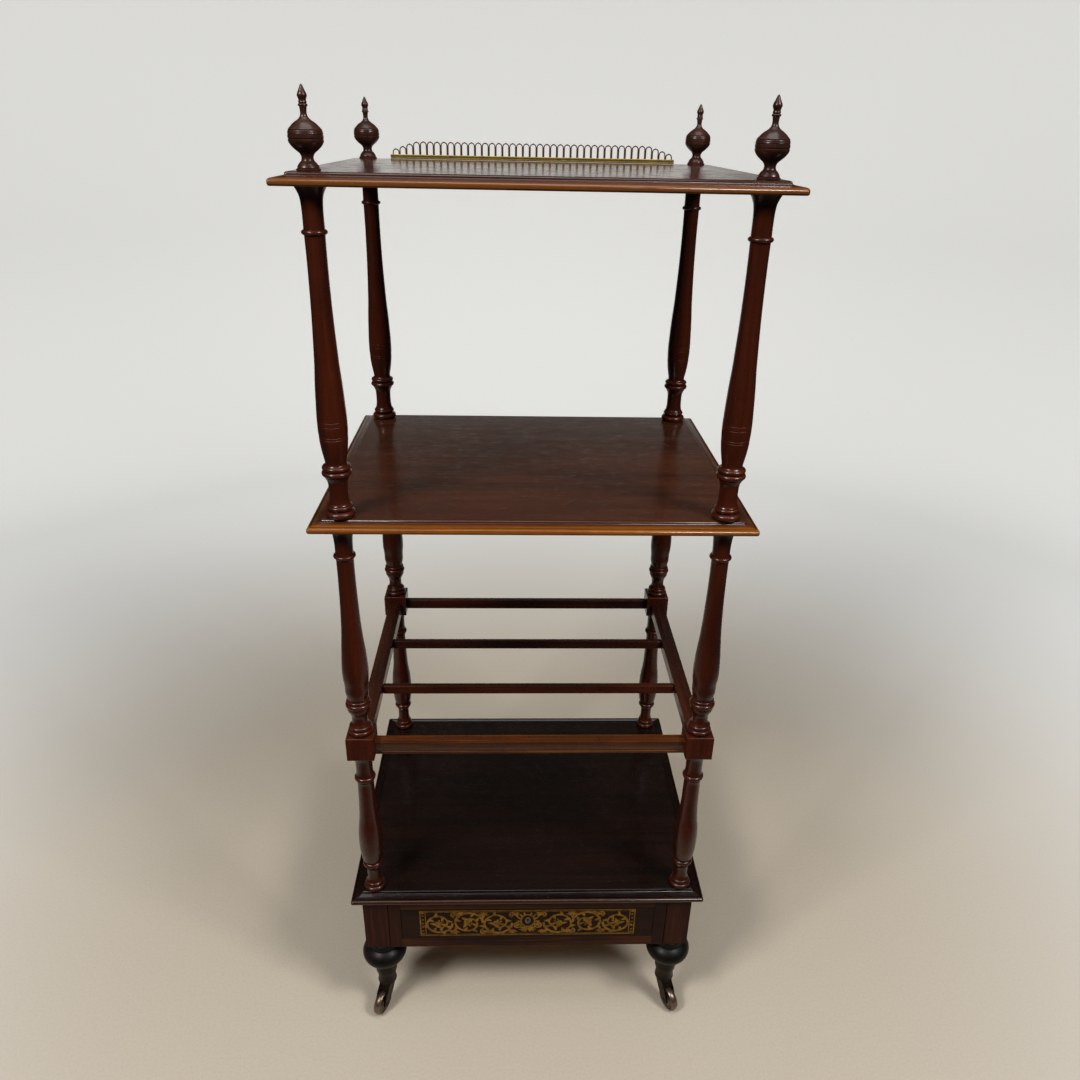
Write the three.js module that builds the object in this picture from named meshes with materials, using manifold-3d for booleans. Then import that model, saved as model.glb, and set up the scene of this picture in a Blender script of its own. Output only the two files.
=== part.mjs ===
// A three-tier mahogany whatnot on castors: turned posts carry two moulded shelves over a magazine
// rack, and a shallow case with one drawer closes the bottom. Millimetres, +Z up, the front faces -Y,
// and the origin is on the floor under the middle.

import * as THREE from 'three';
import { mergeVertices } from 'three/addons/utils/BufferGeometryUtils.js';
import Module from 'manifold-3d';

const wasm = await Module();
wasm.setup();

// Sizes shared by the whole stand
const postSpacingX = 466;
const postSpacingY = 384;
const blockSize = 37;
const bellyRadius = 17;
const clearance = 0.3;
const cutOverrun = 4;
const postSegments = 8;
const metalSegments = 12;
const degree = Math.PI / 180;

// Shelves
const shelfThickness = 13;
const shelfOverhangX = 37;
const shelfOverhangY = 27.5;
const shelfEdgeWidth = 20;
const bottomOverhangX = 15;
const bottomOverhangY = 9;
const shelfEdgeShares = [
  [0.09, 0], [0.02, 0.13], [0, 0.31], [0.04, 0.47], [0.14, 0.56], [0.225, 0.585],
  [0.45, 0.64], [0.725, 0.76], [0.75, 0.88], [0.86, 0.96], [1, 1],
];

// Castors
const wheelRadius = 20;
const wheelWidth = 12;
const treadWidth = 7;
const wheelShoulder = 3;
const wheelSegments = 16;
const axleRadius = 2.4;
const castorTrail = 18;
const castorToe = 27 * degree;
const forkWidth = 19;
const forkSideGap = 0.7;
const wheelHeadroom = 2;
const forkCrownRadius = 11.5;
const forkCrownHeight = 5;
const forkBossRadius = 7;
const forkWaistShares = [[-0.45, 0.35], [-0.8, 0], [0.8, 0], [1.45, 0.35], [0.55, 0.8]];
const spindleRadius = 4;
const spindleHeadRadius = 6.5;
const spindleHeadHeight = 3;
const spindlePlay = 0.1;
const cupRise = 58;
const cupHeight = 48;
const cupRadius = 16.6;
const cupWall = 2.4;
const cupRimBead = 0.8;
const cupBandRadius = 14.2;
const cupBandHeight = 23;
const cupWebThickness = 17;
const cupChamberHeight = 8;
const cupChamberRadius = 8;

// Feet
const footHeight = 53.5;
const footInset = 5;
const footBallRadius = 34.8;
const footBallHeight = 43;
const footBallDrop = 31.5;
const footCollarRadius = 23;
const footArcSteps = 6;
const footDowelRadius = 9;
const footDowelLength = 20;

// Case under the bottom shelf
const caseHeight = 102;
const caseWallThickness = 16;
const caseWallSetback = 1.5;
const tongueThickness = 6;
const tongueLength = 6;
const frontFrameDepth = 20;
const stileWidth = 19.8;
const stileGroove = 1.5;
const topRailHeight = 20;
const bottomRailHeight = 17.5;
const bottomRailGroove = 1.5;
const bottomRailFillet = 2;
const railTenonLength = 10;
const railTenonThickness = 8;
const railTenonShoulder = 3;

// Drawer and its runners
const drawerPlay = 0.5;
const drawerBackGap = 23.5;
const drawerFrontThickness = 20;
const drawerLap = 12;
const drawerSideThickness = 9;
const drawerSideDrop = 13.5;
const drawerBackThickness = 8;
const drawerBackDrop = 3;
const drawerBottomThickness = 6;
const drawerBottomRise = 8;
const drawerGrooveDepth = 4;
const runnerBearing = 14;
const runnerThickness = 10;
const runnerGuideWidth = 10;
const runnerGuideHeight = 12;
const inlayWidth = 334;
const inlayTopMargin = 1.5;
const inlayBottomMargin = 5.5;
const inlayThickness = 1.2;

// Lock of the drawer
const keyDrop = 22.5;
const keyBarrelRadius = 2;
const keySlotWidth = 2.2;
const keySlotDrop = 4.4;
const keyPocketDepth = 2;
const escutcheonWidth = 9;
const escutcheonHeight = 13;
const escutcheonProud = 0.4;
const lockWidth = 44;
const lockHeight = 30;
const lockThickness = 9;
const lockPlateWidth = 52;
const lockPlateDepth = 11.5;
const lockPlateThickness = 2;
const boltWidth = 14;
const boltThickness = 4;
const boltLength = 20;
const boltSink = 0.5;
const boltTravel = 5;
const boltSetIn = 2.5;

// Turned posts: each table runs up the turning, [share of its length, share of the belly radius],
// and a third number makes that station a round bead of that share of the length
const lowerTurningLength = 256.5;
const lowerTurningShares = [
  [0.016, 0.924, 0.031], [0.045, 0.765, 0.0234], [0.065, 0.59], [0.158, 0.571], [0.174, 0.706],
  [0.197, 0.859, 0.031], [0.218, 0.735], [0.232, 0.841], [0.27, 0.935], [0.326, 1], [0.39, 1.015],
  [0.454, 0.965], [0.52, 0.865], [0.587, 0.765], [0.7, 0.705], [0.79, 0.68], [0.836, 0.871, 0.031],
  [0.875, 0.69], [0.953, 0.7], [0.98, 0.788], [1, 0.941],
];
const rackTurningLength = 312;
const rackTurningShares = [
  [0.0115, 0.982, 0.0224], [0.034, 0.882, 0.0185], [0.045, 0.706], [0.058, 0.618], [0.093, 0.618],
  [0.109, 0.741], [0.125, 0.86], [0.1506, 1.012, 0.0256], [0.173, 0.918, 0.0128], [0.189, 0.835],
  [0.221, 0.918], [0.25, 0.924], [0.298, 1.006], [0.335, 1.015], [0.407, 0.941], [0.49, 0.818],
  [0.58, 0.724], [0.696, 0.653], [0.853, 0.647], [0.869, 0.812, 0.016], [0.885, 0.647],
  [0.945, 0.66], [0.97, 0.745], [0.985, 0.87], [1, 1.012],
];
const upperTurningLength = 366.5;
const upperTurningShares = [
  [0.0115, 1.06, 0.0224], [0.0338, 0.9, 0.015], [0.05, 0.72], [0.066, 0.665], [0.1, 0.653],
  [0.12, 0.69], [0.137, 0.84], [0.1517, 1.04, 0.019], [0.1703, 0.985, 0.0145], [0.184, 0.735],
  [0.207, 0.8], [0.257, 0.95], [0.295, 0.994], [0.34, 0.99], [0.416, 0.92], [0.491, 0.824],
  [0.589, 0.718], [0.69, 0.65], [0.866, 0.641], [0.8775, 0.8, 0.0136], [0.889, 0.635],
  [0.947, 0.647], [0.972, 0.715], [0.986, 0.86], [1, 1.012],
];
const smallBeadShare = 0.025;
const beadSteps = 4;
const smallBeadSteps = 2;
const postDowelRadius = 8;
const postDowelGrip = 14;

// Finials
const finialHeight = 77.5;
const finialRadius = 17.5;
const finialShares = [
  [0, 0.646], [0.058, 0.577], [0.097, 0.474], [0.119, 0.377], [0.161, 0.337], [0.213, 0.434],
  [0.235, 0.56], [0.258, 0.697], [0.306, 0.88], [0.34, 0.994], [0.375, 0.96], [0.401, 1],
  [0.432, 0.96], [0.458, 0.971], [0.5, 0.874], [0.548, 0.674], [0.587, 0.423], [0.626, 0.246],
  [0.69, 0.183], [0.734, 0.2], [0.785, 0.251], [0.819, 0.211], [0.866, 0.269], [0.915, 0.206],
  [0.96, 0.12], [1, 0],
];
const finialDowelRadius = 6;
const finialDowelGrip = 12;

// Magazine rack between the square blocks
const rackTopRise = 23.5;
const frontRailHeight = 21.5;
const frontRailThickness = 15.6;
const frontRailBead = 3;
const frontRailQuirk = 1.4;
const backRailHeight = 16.5;
const backRailThickness = 11;
const sideRailHeight = 18;
const sideRailWidth = 22;
const sideRailScore = 0.8;
const railArris = 1;
const slatHeight = 14;
const slatWidth = 9;
const slatSink = 3;
const slatSpacing = 124;
const slatTenonLength = 8;
const slatTenonInset = 1.5;

// Brass gallery
const galleryEndGap = 14.5;
const galleryRailHeight = 5.6;
const galleryRailThickness = 3;
const galleryRise = 0.4;
const galleryThickness = 1.2;
const galleryArchCount = 41;
const galleryStripInset = 2.97;
const galleryBarWidth = 3;
const galleryArchHeight = 17.4;
const galleryCrownHeight = 3.7;
const galleryCrownWall = 1.6;
const galleryEndHeightShares = [0.45, 0.63, 0.82, 0.97];
const galleryCrownShares = [[-0.5, 0], [-0.28, 0.62], [0, 1], [0.28, 0.62]];
const galleryPinRadius = 1.2;
const galleryPinDepth = 6;
const galleryPinInset = 9;

// Heights, stacked up from the floor
const footBase = cupRise + cupHeight;
const caseBase = footBase + footHeight;
const bottomShelfBase = caseBase + caseHeight;
const lowerPostBase = bottomShelfBase + shelfThickness;
const blockBase = lowerPostBase + lowerTurningLength;
const rackTop = blockBase + rackTopRise;
const middleShelfBase = blockBase + blockSize + rackTurningLength;
const upperPostBase = middleShelfBase + shelfThickness;
const topShelfBase = upperPostBase + upperTurningLength;
const finialBase = topShelfBase + shelfThickness;

// Places that several pieces share
const postX = postSpacingX / 2;
const postY = postSpacingY / 2;
const caseX = postX + blockSize / 2;
const caseY = postY + blockSize / 2;
const innerX = postX - blockSize / 2;
const innerY = postY - blockSize / 2;
const openingX = innerX - stileWidth;
const frameBackY = -caseY + frontFrameDepth;
const wallInnerX = caseX - caseWallSetback - caseWallThickness;
const wallInnerY = caseY - caseWallSetback - caseWallThickness;
const drawerX = openingX - drawerPlay;
const drawerBase = caseBase + bottomRailHeight + drawerPlay;
const drawerTop = bottomShelfBase - topRailHeight - drawerPlay;
const drawerInnerX = drawerX - drawerSideThickness;
const drawerFrontBackY = -caseY + drawerFrontThickness;
const drawerEndY = wallInnerY - drawerBackGap;
const drawerSideTop = drawerTop - drawerSideDrop;
const inlayFoot = drawerBase + inlayBottomMargin;
const inlayHead = drawerTop - inlayTopMargin;
const keyZ = drawerTop - keyDrop;
const lockFrontY = drawerFrontBackY - lockThickness;
const boltY = drawerFrontBackY - boltSetIn - boltThickness / 2;
const galleryEndX = postX - finialRadius - galleryEndGap;
const galleryArchPitch = 2 * (galleryEndX - galleryStripInset) / galleryArchCount;
const corners = [
  { tag: 'fl', x: -1, y: -1 },
  { tag: 'fr', x: 1, y: -1 },
  { tag: 'bl', x: -1, y: 1 },
  { tag: 'br', x: 1, y: 1 },
];
const sides = [{ tag: 'l', x: -1 }, { tag: 'r', x: 1 }];

// Finishes
const finishes = {
  mahogany: { color: 0x5b2716, roughness: 0.38, metalness: 0 },
  ebonised: { color: 0x1d1613, roughness: 0.34, metalness: 0 },
  drawerWood: { color: 0x8a6238, roughness: 0.65, metalness: 0 },
  inlay: { color: 0x6e5526, roughness: 0.45, metalness: 0.5 },
  galleryBrass: { color: 0x7d6533, roughness: 0.45, metalness: 1 },
  castorBrass: { color: 0x5c4a34, roughness: 0.5, metalness: 1 },
  wheel: { color: 0x6f5f50, roughness: 0.55, metalness: 0 },
  lockMetal: { color: 0x9d9588, roughness: 0.4, metalness: 1 },
};

// Closed solid from a three.js geometry, with its shared corners merged and its faces out
function solid(geometry) {
  geometry.deleteAttribute('normal');
  geometry.deleteAttribute('uv');
  const merged = mergeVertices(geometry);
  const vertices = merged.attributes.position.array;
  const corner = (index) => new THREE.Vector3().fromArray(vertices, 3 * index);
  const triangles = [];
  let volume = 0;
  for (let i = 0; i < merged.index.count; i += 3) {
    const [a, b, c] = merged.index.array.slice(i, i + 3);
    if (a === b || b === c || c === a) continue;
    triangles.push([a, b, c]);
    volume += corner(a).dot(corner(b).cross(corner(c)));
  }
  const ordered = volume > 0 ? triangles : triangles.map(([a, b, c]) => [a, c, b]);
  return new wasm.Manifold(new wasm.Mesh({
    numProp: 3,
    vertProperties: new Float32Array(vertices),
    triVerts: new Uint32Array(ordered.flat()),
  }));
}

// Geometry of a solid, for its mesh
function geometryOf(body) {
  const { vertProperties, triVerts } = body.getMesh();
  const geometry = new THREE.BufferGeometry();
  geometry.setAttribute('position', new THREE.BufferAttribute(new Float32Array(vertProperties), 3));
  geometry.setIndex(new THREE.BufferAttribute(new Uint32Array(triVerts), 1));
  return geometry;
}

// Box between two opposite corners
function block(low, high) {
  const size = high.map((value, axis) => value - low[axis]);
  const middle = high.map((value, axis) => (value + low[axis]) / 2);
  return solid(new THREE.BoxGeometry(...size).translate(...middle));
}

// Solid of revolution about Z from a list of [radius, height]
function turned(outline, segments) {
  const points = outline.map(([radius, height]) => new THREE.Vector2(radius, height));
  return solid(new THREE.LatheGeometry(points, segments).rotateX(Math.PI / 2));
}

// Upright round bar standing at [x, y, z]
function bar(radius, length, [x, y, z], segments) {
  const cylinder = new THREE.CylinderGeometry(radius, radius, length, segments);
  return solid(cylinder.rotateX(Math.PI / 2).translate(x, y, z + length / 2));
}

function shapeOf(outline) {
  return new THREE.Shape(outline.map(([x, y]) => new THREE.Vector2(x, y)));
}

// One outline or several in X and Z, with their thickness along Y about the plane y = 0
function plankAlongY(shape, thickness) {
  const options = { depth: thickness, bevelEnabled: false };
  return new THREE.ExtrudeGeometry(shape, options).translate(0, 0, -thickness / 2).rotateX(Math.PI / 2);
}

// Section in Y and Z run along X, about the plane x = 0
function runAlongX(outline, length) {
  return plankAlongY(shapeOf(outline), length).rotateZ(Math.PI / 2);
}

// Rectangle of the given width and height with its corners taken off
function arrisedSection(width, height, arris) {
  const x = width / 2;
  return [
    [-x + arris, 0], [x - arris, 0], [x, arris], [x, height - arris],
    [x - arris, height], [-x + arris, height], [-x, height - arris], [-x, arris],
  ];
}

// Points of a turned outline, from a table of shares
function turning(shares, base, length, radius) {
  return shares.flatMap(([heightShare, radiusShare, beadShare]) => {
    const height = base + heightShare * length;
    const reach = radiusShare * radius;
    if (!beadShare) return [[reach, height]];
    const bulge = beadShare * length / 2;
    const steps = beadShare < smallBeadShare ? smallBeadSteps : beadSteps;
    return Array.from({ length: steps + 1 }, (_, step) => {
      const turn = Math.PI * (step / steps - 0.5);
      return [reach - bulge * (1 - Math.cos(turn)), height + bulge * Math.sin(turn)];
    });
  });
}

// Board with its base at z = 0 and one moulding run round its four edges; the field of its top that
// lies clear between the posts is a face of its own
function mouldedBoard(width, depth) {
  const plan = [[-1, -1], [1, -1], [1, 1], [-1, 1]];
  const rings = shelfEdgeShares.map(([insetShare, heightShare]) => {
    const inset = insetShare * shelfEdgeWidth;
    return [width / 2 - inset, depth / 2 - inset, heightShare * shelfThickness];
  });
  rings.push([innerX, innerY, shelfThickness]);
  const points = rings.flatMap(([x, y, z]) => plan.map(([signX, signY]) => [signX * x, signY * y, z]));
  const last = points.length - plan.length;
  const faces = [[[0, 2, 1], [0, 3, 2]], [[last, last + 1, last + 2], [last, last + 2, last + 3]]];
  for (let ring = 0; ring < last; ring += plan.length) {
    plan.forEach((_, side) => {
      const a = ring + side;
      const b = ring + (side + 1) % plan.length;
      faces.push([[a, b, b + plan.length], [a, b + plan.length, a + plan.length]]);
    });
  }
  return new wasm.Manifold(new wasm.Mesh({
    numProp: 3,
    vertProperties: new Float32Array(points.flat()),
    triVerts: new Uint32Array(faces.flat(2)),
    faceID: new Uint32Array(faces.flatMap((pair, face) => pair.map(() => face))),
  }));
}

// Shelf with a round hole over each post
function shelf(width, depth, holeRadius) {
  return corners.reduce((board, { x, y }) => {
    const place = [x * postX, y * postY, -cutOverrun];
    return board.subtract(bar(holeRadius, shelfThickness + 2 * cutOverrun, place, postSegments));
  }, mouldedBoard(width, depth));
}

// Turned post with a dowel at its foot and a socket at its head, standing at z = 0
function post(outline, length, socketRadius, socketDepth) {
  const dowelEnd = -shelfThickness - postDowelGrip;
  return turned([
    [0, dowelEnd], [postDowelRadius, dowelEnd], [postDowelRadius, 0], ...outline,
    [socketRadius, length], [socketRadius, length - socketDepth], [0, length - socketDepth],
  ], postSegments);
}

function upperPost() {
  const outline = turning(upperTurningShares, 0, upperTurningLength, bellyRadius);
  const socket = finialDowelGrip + clearance;
  return post(outline, upperTurningLength, finialDowelRadius + clearance, socket);
}

// Mortise that takes a tenon of the given half width, from a block's inner face towards x or y
function railMortise(halfWidth, low, high, alongX) {
  const start = -blockSize / 2 - cutOverrun;
  const end = -blockSize / 2 + railTenonLength + clearance;
  const across = halfWidth + clearance;
  const floor = low - clearance;
  const ceiling = high + clearance;
  return alongX
    ? block([start, -across, floor], [end, across, ceiling])
    : block([-across, start, floor], [across, end, ceiling]);
}

// Post with the rack's square block between its two turnings; x and y point away from the middle
function lowerPost(x, y) {
  const blockFoot = lowerTurningLength;
  const blockHead = blockFoot + blockSize;
  const length = blockHead + rackTurningLength;
  const outline = [
    ...turning(lowerTurningShares, 0, lowerTurningLength, bellyRadius),
    ...turning(rackTurningShares, blockHead, rackTurningLength, bellyRadius),
  ];
  const half = blockSize / 2;
  const square = block([-half, -half, blockFoot], [half, half, blockHead]);
  const railTop = blockFoot + rackTopRise - railTenonShoulder;
  const crossRailHeight = y < 0 ? frontRailHeight : backRailHeight;
  const crossLow = blockFoot + rackTopRise - crossRailHeight + railTenonShoulder;
  const sideLow = blockFoot + rackTopRise - sideRailHeight + railTenonShoulder;
  const crossMortise = railMortise(railTenonThickness / 2, crossLow, railTop, true);
  const sideMortise = railMortise(railTenonThickness / 2, sideLow, railTop, false);
  return post(outline, length, postDowelRadius + clearance, postDowelGrip + clearance)
    .add(square)
    .subtract(x < 0 ? crossMortise.rotate([0, 0, 180]) : crossMortise)
    .subtract(y < 0 ? sideMortise.rotate([0, 0, 180]) : sideMortise);
}

function finial() {
  const dowelEnd = -shelfThickness - finialDowelGrip;
  return turned([
    [0, dowelEnd], [finialDowelRadius, dowelEnd], [finialDowelRadius, 0],
    ...turning(finialShares, 0, finialHeight, finialRadius),
  ], postSegments);
}

// Front rail: flat face over a quirk, and a round bead along its lower front edge
function frontRail() {
  const face = -frontRailThickness / 2;
  const beadTop = 2 * frontRailBead;
  const bead = Array.from({ length: beadSteps + 1 }, (_, step) => {
    const turn = Math.PI * (0.5 + step / beadSteps);
    return [face + frontRailBead * (1 + Math.cos(turn)), frontRailBead * (1 + Math.sin(turn))];
  });
  const section = [
    [-face, 0], [-face, frontRailHeight], [face, frontRailHeight], [face, beadTop + frontRailQuirk], ...bead,
  ];
  return rackCrossRail(solid(runAlongX(section, 2 * innerX)), frontRailHeight);
}

function backRail() {
  const section = arrisedSection(backRailThickness, backRailHeight, railArris);
  return rackCrossRail(solid(runAlongX(section, 2 * innerX)), backRailHeight);
}

// Adds the tenon that runs into the blocks at both ends of a cross rail
function rackCrossRail(rail, height) {
  const end = innerX + railTenonLength;
  const half = railTenonThickness / 2;
  const tenon = block([-end, -half, railTenonShoulder], [end, half, height - railTenonShoulder]);
  return rail.add(tenon);
}

// Side rail, scored along the middle of its top, with its tenons and the slats' mortises
function sideRail(x) {
  const top = sideRailHeight;
  const outline = arrisedSection(sideRailWidth, top, railArris);
  const score = [[sideRailScore, top], [0, top - sideRailScore], [-sideRailScore, top]];
  outline.splice(5, 0, ...score);
  const end = innerY + railTenonLength;
  const half = railTenonThickness / 2;
  const tenon = block([-half, -end, railTenonShoulder], [half, end, top - railTenonShoulder]);
  const rail = solid(plankAlongY(shapeOf(outline), 2 * innerY)).add(tenon);
  return [-1, 1].reduce((body, place) => {
    const across = slatWidth / 2 - slatTenonInset + clearance;
    const low = top - slatSink - slatHeight + slatTenonInset - clearance;
    const high = top - slatSink - slatTenonInset + clearance;
    const y = place * slatSpacing / 2;
    const mouth = sideRailWidth / 2 + cutOverrun;
    const floor = sideRailWidth / 2 - slatTenonLength - clearance;
    const [nearX, farX] = x < 0 ? [floor, mouth] : [-mouth, -floor];
    return body.subtract(block([nearX, y - across, low], [farX, y + across, high]));
  }, rail);
}

function slat() {
  const shoulder = postX - sideRailWidth / 2;
  const end = shoulder + slatTenonLength;
  const half = slatWidth / 2 - slatTenonInset;
  const tenon = block([-end, -half, slatTenonInset], [end, half, slatHeight - slatTenonInset]);
  return solid(runAlongX(arrisedSection(slatWidth, slatHeight, railArris), 2 * shoulder)).add(tenon);
}

// Gallery: arches pierced in a thin strip that stands on a heavier rail, and three pins under it
function gallery() {
  const foot = galleryRise + galleryRailHeight;
  const first = -(galleryArchCount - 1) / 2;
  const endX = galleryArchCount / 2 * galleryArchPitch;
  const crest = [];
  const piercings = [];
  for (let arch = 0; arch < galleryArchCount; arch += 1) {
    const fromEnd = Math.min(arch, galleryArchCount - 1 - arch);
    const height = galleryArchHeight * (galleryEndHeightShares[fromEnd] ?? 1);
    const spring = foot + height - galleryCrownHeight;
    const x = (first + arch) * galleryArchPitch;
    galleryCrownShares.forEach(([acrossShare, upShare]) => {
      crest.push([x + acrossShare * galleryArchPitch, spring + upShare * galleryCrownHeight]);
    });
    const half = (galleryArchPitch - galleryBarWidth) / 2;
    const shoulder = spring - galleryCrownWall / 2;
    const crown = spring + galleryCrownHeight / 2 - galleryCrownWall / 2;
    piercings.push(shapeOf([
      [x - half, foot], [x + half, foot], [x + half, shoulder], [x, crown], [x - half, shoulder],
    ]));
  }
  const endSpring = foot + galleryArchHeight * galleryEndHeightShares[0] - galleryCrownHeight;
  const railMiddle = galleryRise + galleryRailHeight / 2;
  const outline = shapeOf([...crest, [endX, endSpring], [endX, railMiddle], [-endX, railMiddle]]);
  const strip = solid(plankAlongY(outline, galleryThickness));
  const pierced = strip.subtract(solid(plankAlongY(piercings, galleryThickness + 2 * cutOverrun)));
  const halfRail = galleryRailThickness / 2;
  const rail = block([-galleryEndX, -halfRail, galleryRise], [galleryEndX, halfRail, foot]);
  const pinFoot = -galleryPinDepth;
  const pinLength = galleryRise + galleryPinDepth + galleryRailHeight / 2;
  return galleryPinPlaces().reduce((body, x) => (
    body.add(bar(galleryPinRadius, pinLength, [x, 0, pinFoot], metalSegments))
  ), pierced.add(rail));
}

function galleryPinPlaces() {
  const outer = galleryEndX - galleryPinInset;
  return [-outer, 0, outer];
}

function topShelf() {
  const board = shelf(
    postSpacingX + 2 * shelfOverhangX,
    postSpacingY + 2 * shelfOverhangY,
    finialDowelRadius + clearance,
  );
  const depth = galleryPinDepth + clearance;
  return galleryPinPlaces().reduce((body, x) => {
    const place = [x, postY, shelfThickness - depth];
    return body.subtract(bar(galleryPinRadius + clearance, depth + cutOverrun, place, metalSegments));
  }, board);
}

function middleShelf() {
  const width = postSpacingX + 2 * shelfOverhangX;
  return shelf(width, postSpacingY + 2 * shelfOverhangY, postDowelRadius + clearance);
}

function bottomShelf() {
  const depth = 2 * (caseY + bottomOverhangY);
  return shelf(2 * (caseX + bottomOverhangX), depth, postDowelRadius + clearance);
}

// Corner post of the case about its own axis; x and y point away from the middle
function caseCorner(x, y) {
  const half = blockSize / 2;
  const headDepth = postDowelGrip + clearance;
  const footDepth = footDowelLength + clearance;
  const headRadius = postDowelRadius + clearance;
  const grooveDepth = tongueLength + clearance;
  const grooveHalf = tongueThickness / 2 + clearance;
  const top = caseHeight + cutOverrun;
  const wallMiddle = half - caseWallSetback - caseWallThickness / 2;
  const innerFace = half + cutOverrun;
  const floor = half - grooveDepth;
  const towardsMiddle = (sign, near, far) => (sign < 0 ? [near, far] : [-far, -near]);
  const [sideLow, sideHigh] = towardsMiddle(y, floor, innerFace);
  const sideX = x * wallMiddle;
  const footPlace = [-x * footInset, -y * footInset, -cutOverrun];
  const sideGroove = block([sideX - grooveHalf, sideLow, -cutOverrun], [sideX + grooveHalf, sideHigh, top]);
  const corner = block([-half, -half, 0], [half, half, caseHeight])
    .subtract(bar(headRadius, headDepth + cutOverrun, [0, 0, caseHeight - headDepth], postSegments))
    .subtract(bar(footDowelRadius + clearance, footDepth + cutOverrun, footPlace, metalSegments))
    .subtract(sideGroove);
  if (y < 0) return corner;
  const [backLow, backHigh] = towardsMiddle(x, floor, innerFace);
  const backY = wallMiddle;
  return corner.subtract(
    block([backLow, backY - grooveHalf, -cutOverrun], [backHigh, backY + grooveHalf, top]),
  );
}

// Wall of the case along X with a tongue at each end, about its own middle
function caseWall(halfLength) {
  const half = caseWallThickness / 2;
  const tongueHalf = tongueThickness / 2;
  const end = halfLength + tongueLength;
  return block([-halfLength, -half, 0], [halfLength, half, caseHeight])
    .add(block([-end, -tongueHalf, 0], [end, tongueHalf, caseHeight]));
}

// Strip between a corner post and the drawer opening, grooved where it meets the corner post
function caseStile(x) {
  const back = frameBackY;
  const strip = block([openingX, -caseY, 0], [innerX, back, caseHeight]);
  const groove = block(
    [innerX - stileGroove, -caseY - cutOverrun, -cutOverrun],
    [innerX + cutOverrun, -caseY + stileGroove, caseHeight + cutOverrun],
  );
  const low = railTenonShoulder - clearance;
  const bottomHigh = bottomRailHeight - railTenonShoulder + clearance;
  const topLow = caseHeight - topRailHeight + railTenonShoulder - clearance;
  const topHigh = caseHeight - railTenonShoulder + clearance;
  const middle = (back - caseY) / 2;
  const across = railTenonThickness / 2 + clearance;
  const reach = openingX + railTenonLength + clearance;
  const mortise = (from, to) => block(
    [openingX - cutOverrun, middle - across, from],
    [reach, middle + across, to],
  );
  const right = strip.subtract(groove).subtract(mortise(low, bottomHigh)).subtract(mortise(topLow, topHigh));
  return x < 0 ? right.mirror([1, 0, 0]) : right;
}

// Tenon that runs from a rail of the front frame into both stiles
function frameTenon(height) {
  const end = openingX + railTenonLength;
  const middle = (frameBackY - caseY) / 2;
  const half = railTenonThickness / 2;
  return block(
    [-end, middle - half, railTenonShoulder],
    [end, middle + half, height - railTenonShoulder],
  );
}

function caseTopRail() {
  const slotX = boltWidth / 2 + clearance;
  const slotY = boltThickness / 2 + clearance;
  const slotDepth = boltTravel + clearance;
  return block([-openingX, -caseY, 0], [openingX, frameBackY, topRailHeight])
    .add(frameTenon(topRailHeight))
    .subtract(block([-slotX, boltY - slotY, -cutOverrun], [slotX, boltY + slotY, slotDepth]));
}

// Bottom rail with a narrow groove run under its top arris
function caseBottomRail() {
  const grooveTop = bottomRailHeight - bottomRailFillet;
  const grooveFloor = -caseY + bottomRailGroove;
  const section = [
    [frameBackY, 0], [frameBackY, bottomRailHeight], [-caseY, bottomRailHeight], [-caseY, grooveTop],
    [grooveFloor, grooveTop], [grooveFloor, grooveTop - bottomRailGroove],
    [-caseY, grooveTop - bottomRailGroove], [-caseY, 0],
  ];
  return solid(runAlongX(section, 2 * openingX)).add(frameTenon(bottomRailHeight));
}

// Runner under a drawer side with the guide beside it
function drawerRunner(x) {
  const top = drawerBase - clearance;
  const base = block(
    [openingX - runnerBearing, frameBackY, top - runnerThickness],
    [innerX, wallInnerY, top],
  );
  const guide = block(
    [openingX, frameBackY, top - runnerThickness],
    [openingX + runnerGuideWidth, wallInnerY, top + runnerGuideHeight],
  );
  const right = base.add(guide);
  return x < 0 ? right.mirror([1, 0, 0]) : right;
}

// Keyhole as a round barrel with a slot under it, cut from the front to the given depth
function keyhole(backY) {
  const frontY = -caseY - cutOverrun;
  const half = keySlotWidth / 2;
  const barrel = bar(keyBarrelRadius, backY - frontY, [0, -keyZ, frontY], metalSegments).rotate([-90, 0, 0]);
  return barrel.add(block([-half, frontY, keyZ - keySlotDrop], [half, backY, keyZ]));
}

// Oval about the keyhole, from the given front to the given back
function oval(spread, frontY, backY) {
  const across = escutcheonWidth / 2 + spread;
  const up = escutcheonHeight / 2 + spread;
  const outline = new THREE.Shape().absellipse(0, 0, across, up, 0, 2 * Math.PI, false, 0);
  const points = outline.getPoints(metalSegments / 2).slice(1);
  const plate = plankAlongY(new THREE.Shape(points), backY - frontY);
  return solid(plate.translate(0, (frontY + backY) / 2, keyZ - keySlotDrop / 2));
}

// Lock as its body and plate, with the given gap all round for the recess that takes it
function lockBody(gap) {
  const bodyX = lockWidth / 2 + gap;
  const plateX = lockPlateWidth / 2 + gap;
  const plateLow = drawerTop - lockPlateThickness;
  const back = drawerFrontBackY + (gap ? cutOverrun : 0);
  const top = drawerTop + (gap ? cutOverrun : 0);
  const bodyLow = plateLow - lockHeight - gap;
  return block([-bodyX, lockFrontY - gap, bodyLow], [bodyX, back, drawerTop])
    .add(block([-plateX, drawerFrontBackY - lockPlateDepth - gap, plateLow - gap], [plateX, back, top]));
}

function lockSlot(gap) {
  const halfX = boltWidth / 2 + gap;
  const halfY = boltThickness / 2 + gap;
  const foot = drawerTop - boltSink - boltLength - gap;
  const top = drawerTop - (gap ? -cutOverrun : boltSink);
  return block([-halfX, boltY - halfY, foot], [halfX, boltY + halfY, top]);
}

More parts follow.
